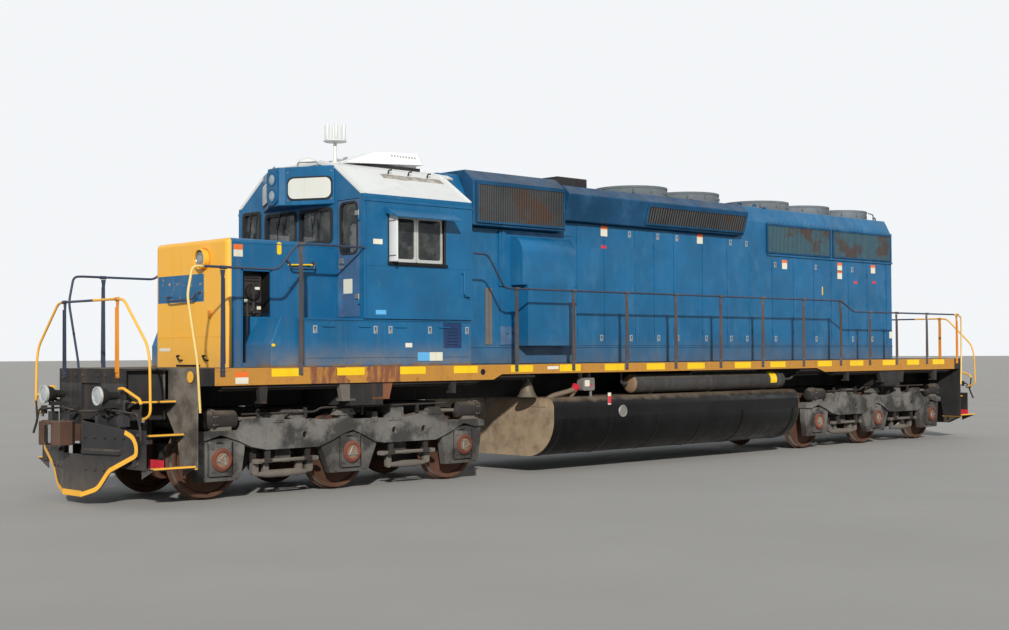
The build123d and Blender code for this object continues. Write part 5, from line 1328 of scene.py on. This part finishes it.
def battery_fittings():
    shape = Shape()
    face = BATTERY_SIDE
    for x in (7.498, 6.489, 6.229, 5.515, 4.813):
        latch(shape, x, 2.20, face)
    shape.walls(3, face, [(0.02, x - 0.10, x + 0.10, 2.233, 2.247) for x in (7.28, 6.68, 6.05, 5.25)])
    # Rain edge at the foot, and upper seams
    shape.walls(3, face - 0.004, [(0.012, x - 0.12, x + 0.12, 1.708, 1.722) for x in (7.35, 6.66, 5.95,
                                                                                      5.2)])
    shape.walls(3, face - 0.008, [(0.014, 4.74, 7.66, 2.325, 2.34), (0.012, 7.652, 7.672, 1.72, 2.33)])
    # Louvres on the rearmost lid
    shape.walls(4, face, [(0.004, 4.92, 5.26, 1.95, 2.31)])
    for k in range(6):
        z = 2.0 + 0.045 * k
        shape.prism([(face + 0.004, z), (face + 0.016, z), (face + 0.004, z + 0.018)], "x", 5.0, 5.18)
    shape.walls(6, face, [(0.002, 5.28, 5.52, 1.77, 1.89), (0.002, 5.84, 5.96, 1.96, 2.02)])
    shape.walls(7, face, [(0.002, 5.52, 5.74, 1.77, 1.89)])
    shape.finish = 5
    shape.lathe([(0, 0.024), (0.02, 0.02)], (8.15, face - 0.008, 1.99), "y", 20)
    shape.mirror()
    shape.piece("battery_fittings", [LATCH, SHADE_AND_BLACK, STEEL, BLUE, LOUVRE, BRIGHT, LABEL, SKY_TAG])


nose_fittings()
nose_side_fittings()
hand_brake()
battery_fittings()


# Cab: window frames, sashes, doors, awnings, plates

WINDOW_REAR, WINDOW_FRONT, WINDOW_LOW, WINDOW_HIGH = 5.27, 6.25, 3.14, 3.79
# End windows, columns: wall, middle across, width, bottom, top
END_WINDOWS = (
    (1, 0.43, 0.74, 3.45, 3.89), (1, -0.43, 0.74, 3.45, 3.89), (1, -1.175, 0.43, 3.23, 3.96),
    (-1, 1.175, 0.43, 3.23, 3.90),
)


def cab_fittings():
    shape = Shape()
    wall, reach = CAB_SIDE, CAB_SIDE + 0.06
    x, z = (WINDOW_REAR + WINDOW_FRONT) / 2, (WINDOW_LOW + WINDOW_HIGH) / 2
    width, height = WINDOW_FRONT - WINDOW_REAR, WINDOW_HIGH - WINDOW_LOW
    shape.frame(rounded(x, z, width + 0.07, height + 0.07, 0.03), rounded(x, z, width, height, 0.012),
                "y", wall - 0.03, wall + 0.012)
    # Sashes in alloy frames
    shape.finish = 1
    for middle in (WINDOW_REAR + width / 4, WINDOW_FRONT - width / 4):
        shape.frame(rounded(middle, z, width / 2 - 0.006, height - 0.004, 0.02),
                    rounded(middle, z, width / 2 - 0.075, height - 0.09, 0.04), "y", wall - 0.05,
                    wall - 0.02)
    # Arm rest, seams, drip rail and blank plates
    shape.walls(2, wall - 0.01, [(0.05, WINDOW_REAR - 0.05, WINDOW_FRONT + 0.04, WINDOW_LOW - 0.045,
                                  WINDOW_LOW - 0.012)])
    shape.walls(3, wall, [(0.005, CAB_REAR + 0.01, CAB_FRONT - 0.01, 3.075, 3.085),
                          (0.014, CAB_REAR, CAB_FRONT, 3.955, 3.985),
                          (0.012, CAB_REAR, CAB_FRONT, 2.352, 2.37),
                          (0.010, CAB_FRONT - 0.07, CAB_FRONT - 0.045, 2.36, 3.95)])
    shape.walls(4, wall, [(0.002, 6.32, 6.50, 2.41, 2.47)])
    shape.walls(5, wall, [(0.002, 6.38, 6.54, 3.37, 3.44)])
    # Grab iron behind the window
    shape.finish = 3
    shape.tube([(4.93, wall, 3.02), (4.93, reach, 3.02), (4.93, reach, 2.72), (4.82, reach, 2.68),
                (4.82, wall, 2.68)], 0.012, 8, bend=0.03)
    shape.mirror()
    # End windows with their wipers
    for way, y, width, low, high in END_WINDOWS:
        plane = CAB_FRONT if way > 0 else CAB_REAR
        z, height = (low + high) / 2, high - low
        shape.finish = 0
        shape.frame(rounded(y, z, width + 0.06, height + 0.06, 0.07),
                    rounded(y, z, width - 0.03, height - 0.03, 0.05), "x", plane - way * 0.03,
                    plane + way * 0.012)
        shape.finish = 2
        shape.tube([(plane + way * 0.03, y + 0.05, high + 0.02), (plane + way * 0.035, y - 0.04, z - 0.04)],
                   0.009, 6)
        shape.tube([(plane + way * 0.028, y - 0.06, z + 0.12), (plane + way * 0.028, y - 0.03, low + 0.06)],
                   0.007, 6)
    shape.piece("cab_window_frames", [RUBBER, ALLOY, SHADE_AND_BLACK, BLUE, SKY_TAG, LABEL])


def deflectors():
    """Awnings with stiffened edges, and pale wind deflectors ahead of the windows."""
    shape = Shape()
    low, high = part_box("window_awnings")
    wall, reach = CAB_SIDE, high.y
    section = [(wall, 3.89), (wall, 3.876), (reach - 0.01, 3.742), (reach - 0.01, 3.735), (reach, 3.735),
               (reach, 3.752)]
    ends = (low.x, low.x + 0.02, high.x - 0.02, high.x)
    for rear, front in zip(ends, ends[1:]):
        shape.prism(section, "x", rear, front)
    for x in (low.x, high.x - 0.012):
        shape.prism([(wall, 3.876), (reach - 0.01, 3.742), (wall + 0.02, 3.80)], "x", x, x + 0.012)
    shape.finish = 1
    x = WINDOW_FRONT + 0.01
    shape.prism(rounded(x, wall + 0.09, 0.02, 0.18, 0.008, 2), "z", WINDOW_LOW, WINDOW_HIGH)
    shape.prism(rounded(x, wall + 0.172, 0.03, 0.018, 0.008, 2), "z", WINDOW_LOW, WINDOW_HIGH)
    shape.finish = 2
    for z in (3.70, 3.22):
        shape.tube([(x + 0.015, wall, z), (x + 0.015, wall + 0.16, z)], 0.008, 6)
    shape.mirror()
    shape.piece("awnings_and_deflectors", [BLUE, PLAIN_WHITE, STEEL], 0.002, replaces=["window_awnings"])


def cab_door(end, way):
    """Leaf with a tall round-cornered window in rubber, bare edges, lock plate and handle."""
    node = f"cab_door_{end}"
    low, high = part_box(node)
    outer, inner, pane = -0.010, -0.050, -0.030
    near, far, z = 0.936, 1.424, 3.60
    y, width, lock_y = (near + far) / 2, far - near, near + 0.075
    shape = Shape(CAB_FRONT if way > 0 else CAB_REAR, way=way)
    shape.frame(rounded(y, (low.z + high.z) / 2, width, high.z - low.z, 0.012),
                rounded(y, z, width - 0.11, 0.70, 0.08), "x", outer, inner)
    shape.finish = 1
    shape.frame(rounded(y, z, width - 0.075, 0.735, 0.095), rounded(y, z, width - 0.135, 0.675, 0.07),
                "x", outer + 0.006, inner)
    shape.finish = 2
    shape.prism(rounded(y, z, width - 0.12, 0.69, 0.075), "x", pane, pane + 0.006)
    # Lock plate with a lever, hinges, and a blank kick plate
    shape.finish = 3
    shape.prism(rounded(lock_y, 3.12, 0.11, 0.15, 0.02, 3), "x", outer, outer + 0.005)
    shape.tube([(outer, lock_y, 3.13), (outer + 0.035, lock_y, 3.13), (outer + 0.035, near + 0.17, 3.12)],
               0.009, 8, bend=0.012)
    for bottom in (2.62, 3.76):
        shape.lathe([(0.0003, 0.011), (0.07, 0.011)], (0.012, 1.427, bottom), "z", 16)
        shape.box(outer, 0.0115, 1.34, 1.427, bottom + 0.004, bottom + 0.066)
    shape.finish = 4
    shape.prism(rounded(1.16, 2.80, 0.20, 0.20, 0.01, 3), "x", outer, outer + 0.002)
    shape.piece(f"{node}_leaf", [WORN_BLUE, RUBBER, WINDOW, STEEL, LABEL], 0.002, node, replaces=[node])


cab_fittings()
deflectors()
cab_door("front", 1)
cab_door("rear", -1)


# Number boards and lamps

def number_boards():
    """Blank cream boards in dark gaskets on the angled faces of the housing, and a grab bar on its top."""
    shape = Shape()
    start, end = Vector((7.06, 0.20, 0)), Vector((6.70, 0.88, 0))
    along = (end - start).normalized()
    out = Vector((along.y, -along.x, 0))
    length = (end - start).length

    def spot(a, z, depth):
        place = start + along * a + out * depth
        return (place.x, place.y, z)

    def plate(outline, near, far):
        shape.loops([[spot(a, z, depth) for a, z in outline] for depth in (near, far)])

    for shape.finish, width, height, depth in ((1, 0.70, 0.33, 0.012), (0, 0.66, 0.285, 0.016)):
        plate(rounded(length / 2, 4.19, width, height, 0.09), -0.004, depth)
    shape.finish = 2
    for a in (0.05, length - 0.05):
        for z in (4.03, 4.42):
            plate(circle(a, z, 0.011, 6), 0.0, 0.01)
    shape.mirror()
    grab_bar = [spot(a, z, -0.1) for a, z in ((0.15, 4.50), (0.15, 4.57), (0.45, 4.57), (0.45, 4.50))]
    for side in (1, -1):
        shape.tube([(x, side * y, z) for x, y, z in grab_bar], 0.010, 8, bend=0.03)
    # Headlamp casting on the housing's nose
    shape.finish = 3
    shape.prism(rounded(0, 4.225, 0.25, 0.50, 0.11), "x", 7.115, 7.15)
    shape.piece("number_boards", [CREAM, RUBBER, STEEL, BLUE])


# Headlamps and ditch lamps, columns: seat, place across, height, way it shines, radius, depth
LAMPS = [(seat, 0.0, z, way, 0.095, 0.04) for seat, way in ((7.12, 1), (-7.60, -1)) for z in (4.106, 4.335)]
LAMPS += [(way * 9.90, y, 1.375, way, 0.115, 0.30) for way in (1, -1) for y in (0.72, -0.72)]


def lamps():
    shape = Shape()
    for seat, y, z, shape.way, radius, depth in LAMPS:
        shape.start = (seat + shape.way * depth, y, z)
        hub = (0, 0, 0)
        shape.finish = 0
        if depth > 0.1:
            shape.lathe([(0.02 - depth, radius * 0.4), (-0.17, radius * 0.45), (-0.12, radius * 0.8),
                         (-0.03, radius * 0.98), (-0.02, radius * 0.8)], hub, "x", 36)
            shape.box(-depth, 0.2 - depth, -0.04, 0.04, -0.15, -0.10)
            shape.finish = 5
            shape.ring([(-0.035, radius), (0, radius), (0, radius * 0.86), (-0.035, radius * 0.86)], hub,
                       "x", 40)
        else:
            shape.finish = 4
            shape.ring([(-0.03, radius), (0, radius), (0, radius * 0.88), (-0.03, radius * 0.88)], hub, "x",
                       36)
        shape.finish = 2
        shares = (0.06, 0.35, 0.6, 0.8, 1.0)
        bowl = [(-0.012 - 0.30 * radius * (1 - share * share), radius * 0.86 * share) for share in shares]
        back = [(-0.02 - 0.34 * radius * (1 - share * share),
                 radius * 0.86 * share) for share in shares[::-1]]
        shape.lathe(bowl + back, hub, "x")
        shape.finish = 3
        shape.lathe([(-0.014, radius * 0.86), (-0.004, radius * 0.7), (0, radius * 0.3), (0, 0.004),
                     (-0.004, 0.004),
                     (-0.012, radius * 0.7)], hub, "x")
    shape.piece("lamp_units", [RUBBER, PLAIN_WHITE, BOWL, LENS, BLUE, ALLOY], replaces=["lamps"])


def hood_end_fittings():
    """Rear lamp casting, number boards, doors with handles and hinges."""
    shape = Shape(x=HOOD_REAR)
    shape.prism(rounded(0, 4.225, 0.25, 0.50, 0.11), "x", -0.03, 0.01)
    for side in (1, -1):
        shape.finish = 1
        shape.prism(rounded(side * 0.50, 4.22, 0.60, 0.28, 0.06), "x", -0.012, 0)
        shape.finish = 2
        shape.frame(rounded(side * 0.50, 4.22, 0.64, 0.32, 0.08),
                    rounded(side * 0.50, 4.22, 0.59, 0.27, 0.055),
                    "x", -0.018, 0)
        shape.finish = 0
        shape.box(-0.006, 0, side * 0.36 - 0.34, side * 0.36 + 0.34, 1.95, 3.60)
        shape.finish = 3
        shape.box(-0.025, -0.006, side * 0.05 - 0.015, side * 0.05 + 0.015, 2.55, 2.70)
        for z in (2.2, 2.8, 3.4):
            shape.bar(0.05, 0.012, (-0.01, side * 0.70, z), "z")
    shape.piece("hood_end_fittings", [BLUE, CREAM, RUBBER, STEEL], 0.002)


number_boards()
lamps()
hood_end_fittings()


# Roof: seams, hooks, air conditioner's louvres, antennas

def cab_roof_fittings():
    shape = Shape()
    # Standing seams over the sloped part
    seam = [(CAB_SIDE - 0.004, EAVE), (CAB_SIDE, EAVE + 0.018), (KNEE[0], KNEE[1] + 0.018),
            (0.5, RIDGE + 0.016),
            (0.5, RIDGE - 0.004), (KNEE[0], KNEE[1] - 0.004)]
    for x in (CAB_REAR + 0.01, CAB_FRONT - 0.03):
        shape.prism(seam, "x", x, x + 0.02)
    shape.prism([(0.97, 4.437), (0.99, 4.455), (0.86, 4.52), (0.85, 4.50)], "x", 4.60, 4.78)
    shape.mirror()
    shape.finish = 1
    for side in (1, -1):
        for x in (5.83, 5.46, 5.10):
            shape.tube([(x, side * 0.965, 4.426), (x, side * 0.995, 4.486),
                        (x - 0.05, side * 0.995, 4.496)],
                       0.011, 8, bend=0.015)
    shape.piece("cab_roof_fittings", [PLAIN_WHITE, SOOTY])


def roof_unit_fittings():
    shape = Shape()
    for x in (4.88, 5.25, 5.62):
        shape.box(x, x + 0.006, -0.501, 0.501, 4.72, 4.80)
    shape.finish = 1
    for k in range(9):
        x = 4.92 + 0.055 * k
        for side in (1, -1):
            shape.box(x, x + 0.03, side * 0.497, side * 0.502, 4.775, 4.80)
    shape.ring([(0, 0.16), (0.012, 0.16), (0.012, 0.14), (0, 0.14)], (5.15, 0, 4.858), "z")
    for k in range(5):
        shape.box(4.99 + 0.07 * k, 5.0 + 0.07 * k, -0.14, 0.14, 4.852, 4.868)
    shape.finish = 2
    shape.box(4.80, 5.98, -0.46, 0.46, 4.592, 4.645)
    shape.piece("roof_unit_fittings", [UNIT_WHITE, SLOT_GREY, SOOTY])


def antennas():
    """Mast, round plate and six whips, with a low dome beside them."""
    shape = Shape()
    x, y, hub = 6.35, 0.42, 4.90
    shape.lathe([(0.0, 0.07), (0.015, 0.07), (0.03, 0.03), (0.05, 0.024), (hub - RIDGE, 0.024)],
                (x, y, RIDGE), "z", 20)
    shape.lathe([(0.0, 0.155), (0.006, 0.165), (0.02, 0.165), (0.03, 0.15), (0.03, 0.02)], (x, y, hub), "z",
                36)
    for a, b in circle(x, y, 0.135, 6):
        shape.lathe([(0.0, 0.022), (0.02, 0.026), (0.206, 0.027), (0.22, 0.02)], (a, b, hub + 0.03), "z",
                    14)
    shape.lathe([(-0.012, 0.17), (0.045, 0.165), (0.10, 0.13), (0.13, 0.07), (0.14, 0.02)],
                (6.42, -0.15, RIDGE), "z")
    shape.piece("antenna_masts", [PLAIN_WHITE], replaces=["antenna_array"])


cab_roof_fittings()
roof_unit_fittings()
antennas()


# Inside the cab: seats and desk

def crew_seats():
    """Posts under crowned cushions, which are padded pieces of their own."""
    shape = Shape(5.56, 0, 2.35)
    for side in (1, -1):
        y = side * 1.08
        shape.lathe([(0, 0.14), (0.02, 0.14), (0.03, 0.06), (0.39, 0.06), (0.40, 0.12)], (0, y, 0), "z", 28)
        shape.box(-0.22, 0.20, y - 0.20, y + 0.20, 0.39, 0.415)
        shape.box(-0.245, -0.225, y - 0.20, y + 0.20, 0.42, 1.08)
    shape.piece("seat_posts", [BLACK], 0.006, segments=2, replaces=["crew_seats"])
    for side, hand in ((1, "left"), (-1, "right")):
        # Columns: name, middle, size
        for name, middle, size in (("seat", (5.56, 2.815), (0.46, 0.46, 0.10)),
                                   ("back", (5.38, 3.16), (0.09, 0.44, 0.56))):
            cushion(f"{name}_cushion_{hand}", (middle[0], side * 1.08, middle[1]), size)


def cushion(name, centre, size):
    """A crowned closed form whose corners pull in."""
    shape = Shape(*centre)
    count = 7
    steps = range(count + 1)
    verts = {}
    for spot in ((i, j, k) for i in steps for j in steps for k in steps):
        if 0 in spot or count in spot:
            a, b, c = (2 * n / count - 1 for n in spot)
            crown = (1 - 0.05 * (b * b + c * c), 1 - 0.05 * (a * a + c * c), 1 - 0.08 * (a * a + b * b))
            verts[spot] = shape.vert([n * length / 2 * pull for n, length, pull in zip((a, b, c), size,
                                                                                       crown)])
    for u in range(count):
        for v in range(count):
            for level in (0, count):
                for order in range(3):
                    corners = [[u, v], [u + 1, v], [u + 1, v + 1], [u, v + 1]]
                    for corner in corners:
                        corner.insert(order, level)
                    shape.face([verts[tuple(corner)] for corner in corners])
    made = shape.piece(name, [SEAT], sharp=180)
    rounder = made.modifiers.new("round", "SUBSURF")
    rounder.levels = 2
    rounder.render_levels = 2


def desk():
    shape = Shape()
    shape.box(5.92, 6.40, -0.362, -0.358, 2.5, 3.30)
    shape.finish = 1
    for k in range(3):
        shape.lathe([(0, 0.045), (0.012, 0.045), (0.014, 0.036)], (6.0 + 0.14 * k, -0.70, 3.24), "z", 20)
        x = 5.98 + 0.12 * k
        shape.tube([(x, -0.36, 3.0), (x, -0.27, 3.04)], 0.012, 8)
        shape.bar(0.02, 0.022, (x, -0.26, 3.045), "y", 12)
    shape.piece("desk_fittings", [INSIDE, RUBBER])


crew_seats()
desk()


# Handrails: bent tubes on pressed stanchions

# Columns: top, places
STANCHIONS = ((2.96, (8.92,)), (3.31, (7.74,)), (2.83,
                                                 (3.835, 2.61, 1.37, 0.14, -1.07, -2.28, -3.54, -4.76)),
              (2.63, (-5.77, -6.75, -7.91, -9.13)))
RAIL_Y = SIDE + 0.022
RAIL_RADIUS = 0.0165


def stanchion(shape, side, x, top):
    """Pressed post with two ribs, an eye for the rail and two bolts.
    The front post has the rails' grey, and the last at the rear is orange."""
    shape.finish = 0 if x > 8 else 3 if x < -9 else 2
    half = [(0.032, 1.60), (0.030, 1.75), (0.021, top - 0.12), (0.034, top - 0.03)]
    face, rib, tip = (side * (SIDE + out) for out in (0.0, 0.014, 0.026))
    outline = [(x + a, z) for a, z in half] + [(x - a, z) for a, z in half[::-1]]
    shape.prism(outline, "y", face, rib)
    for way in (1, -1):
        outline = ((0.024, 1.76), (0.031, 1.76), (0.022, top - 0.13), (0.015, top - 0.13))
        shape.prism([(x + way * a, z) for a, z in outline], "y", rib, tip)
    shape.bar(0.045, 0.024, (x, side * RAIL_Y, top), "x", 14)
    shape.finish = 3 if x < -9 else 2
    for z in (1.625, 1.68):
        shape.bolt((x, rib, z), "y", side * 0.014, 0.013)


def side_rails(side, node):
    """Yellow drops beside the steps, and dark rails along the body. The right front drop is dark too."""
    shape = Shape()
    for shape.finish, points in (
            (1 if side > 0 else 0, ((9.25, 1.16), (9.29, 1.79), (9.43, 2.60), (9.36, 2.96), (9.20, 2.965))),
            (0, ((9.22, 2.965), (8.10, 2.96), (7.80, 3.31), (6.70, 3.31))),
            (0, ((4.70, 3.32), (4.43, 3.32), (4.10, 2.85), (4.0, 2.83), (-4.76, 2.83), (-5.20, 2.63),
                 (-9.0, 2.63))),
            (1, ((-8.98, 2.63), (-9.30, 2.60), (-9.29, 1.79), (-9.25, 1.16)))):
        shape.tube([(x, side * RAIL_Y, z) for x, z in points], RAIL_RADIUS, 12, bend=0.09)
    for top, places in STANCHIONS:
        for x in places:
            stanchion(shape, side, x, top)
    shape.piece(f"{node}_tubes", [RAIL_GREY, WORN_YELLOW, POST_GREY, POST_ORANGE], replaces=[node])


def end_rails():
    """Posts, a rail across and the corner rails at both ends."""
    shape = Shape()
    post_y, top = 0.70, 2.57
    half = [(0.036, 1.59), (0.024, top - 0.1), (0.034, top - 0.02)]
    corner = [(post_y, top), (0.87, top - 0.01), (SIDE - 0.084, 2.0), (SIDE - 0.024, 1.80),
              (SIDE - 0.004, 1.15),
              (SIDE - 0.194, 1.09)]
    for end in (1, -1):
        x = end * (BODY_END + 0.014)
        back, rib, tip = x - end * 0.014, x - end * 0.002, x + end * 0.014
        for y in (post_y, -post_y):
            shape.finish = 2 if end > 0 > y else 1
            shape.prism([(y + a, z) for a, z in half] + [(y - a, z) for a, z in half[::-1]], "x", back, rib)
            for middle in (y + 0.02, y - 0.02):
                shape.box(rib, tip, middle - 0.005, middle + 0.005, 1.66, top - 0.1)
            for z in (1.62, 1.67):
                shape.bolt((rib, y, z), "x", end * 0.016, 0.013)
            shape.bar(0.04, 0.024, (x, y, top), "y", 14)
        shape.finish = 2
        shape.tube([(x, -post_y, top), (x, 0.10, top)], RAIL_RADIUS, 12)
        shape.finish = 0
        shape.tube([(x, 0.08, top), (x, post_y, top)], RAIL_RADIUS, 12)
        for side in (1, -1):
            shape.finish = 0
            shape.tube([(x, side * y, z) for y, z in corner], RAIL_RADIUS, 12, bend=0.10)
            shape.finish = 3
            shape.box(back, x + end * 0.012, side * (SIDE - 0.22), side * (SIDE - 0.17), 1.06, 1.12)
    shape.piece("end_rail_tubes", [YELLOW, POST_ORANGE, RAIL_GREY, STEEL], replaces=["end_rails"])


side_rails(1, "handrail_left")
side_rails(-1, "handrail_right")
end_rails()


# Camera, floor and light

FOCAL_PX = 1421.6
PHOTO_WIDTH = 1009
EYE = Vector((18.562, 16.756, 1.881))
YAW = 0.7603
PITCH = math.radians(1.51)
ROLL = math.radians(-0.31)
SUN_WAY = Vector((-0.587, -0.707, -0.396))
FLOOR_SIZE = 400


def place_camera():
    view_way = Vector((-math.sin(YAW) * math.cos(PITCH), -math.cos(YAW) * math.cos(PITCH), math.sin(PITCH)))
    level = view_way.cross(WAYS["z"]).normalized()
    upright = level.cross(view_way)
    right = level * math.cos(ROLL) + upright * math.sin(ROLL)
    up = upright * math.cos(ROLL) - level * math.sin(ROLL)
    lens_data = bpy.data.cameras.new("camera")
    lens_data.sensor_width = 36
    lens_data.lens = FOCAL_PX / PHOTO_WIDTH * lens_data.sensor_width
    lens_data.clip_end = 500
    camera = bpy.data.objects.new("camera", lens_data)
    camera.matrix_world = Matrix.Translation(EYE) @ Matrix((right, up, -view_way)).transposed().to_4x4()
    bpy.context.scene.collection.objects.link(camera)
    bpy.context.scene.camera = camera


def lay_floor():
    tree = Tree("floor")
    tree.shade(Base_Color=tree.mix(tree.noise(0.4, 4.0), (0.33, 0.32, 0.31, 1), (0.40, 0.39, 0.37, 1)),
               Roughness=0.9)
    shape = Shape()
    shape.face([shape.vert((x, y, 0)) for x, y in rectangle(-FLOOR_SIZE, FLOOR_SIZE, -FLOOR_SIZE,
                                                            FLOOR_SIZE)])
    shape.place("floor", [tree.material])


def light_scene():
    """A soft world that camera, glossy and transmitted rays see pale, and a sun."""
    world = bpy.data.worlds.new("studio")
    world.use_nodes = True
    bpy.context.scene.world = world
    world_nodes, links = world.node_tree.nodes, world.node_tree.links
    soft, pale = world_nodes["Background"], world_nodes.new("ShaderNodeBackground")
    soft.inputs["Color"].default_value = (0.86, 0.93, 1, 1)
    soft.inputs["Strength"].default_value = 0.34
    pale.inputs["Color"].default_value = (0.9, 0.92, 0.94, 1)
    rays = world_nodes.new("ShaderNodeLightPath")
    seen, also = (world_nodes.new("ShaderNodeMath") for _ in range(2))
    seen.operation = also.operation = "MAXIMUM"
    blend = world_nodes.new("ShaderNodeMixShader")
    for source, target in (
            (rays.outputs["Is Camera Ray"], seen.inputs[0]),
                           (rays.outputs["Is Glossy Ray"], also.inputs[0]),
            (rays.outputs["Is Transmission Ray"], also.inputs[1]), (also.outputs[0], seen.inputs[1]),
            (seen.outputs[0], blend.inputs[0]), (soft.outputs[0], blend.inputs[1]),
            (pale.outputs[0], blend.inputs[2]), (blend.outputs[0],
                                                 world_nodes["World Output"].inputs["Surface"])):
        links.new(source, target)
    sun_data = bpy.data.lights.new("sun", "SUN")
    sun_data.energy = 3.9
    sun_data.angle = math.radians(1.5)
    sun_data.color = (1.0, 0.97, 0.91)
    sun = bpy.data.objects.new("sun", sun_data)
    sun.rotation_euler = SUN_WAY.to_track_quat("-Z", "Y").to_euler()
    bpy.context.scene.collection.objects.link(sun)


place_camera()
lay_floor()
light_scene()
bpy.context.scene.view_settings.view_transform = "Standard"
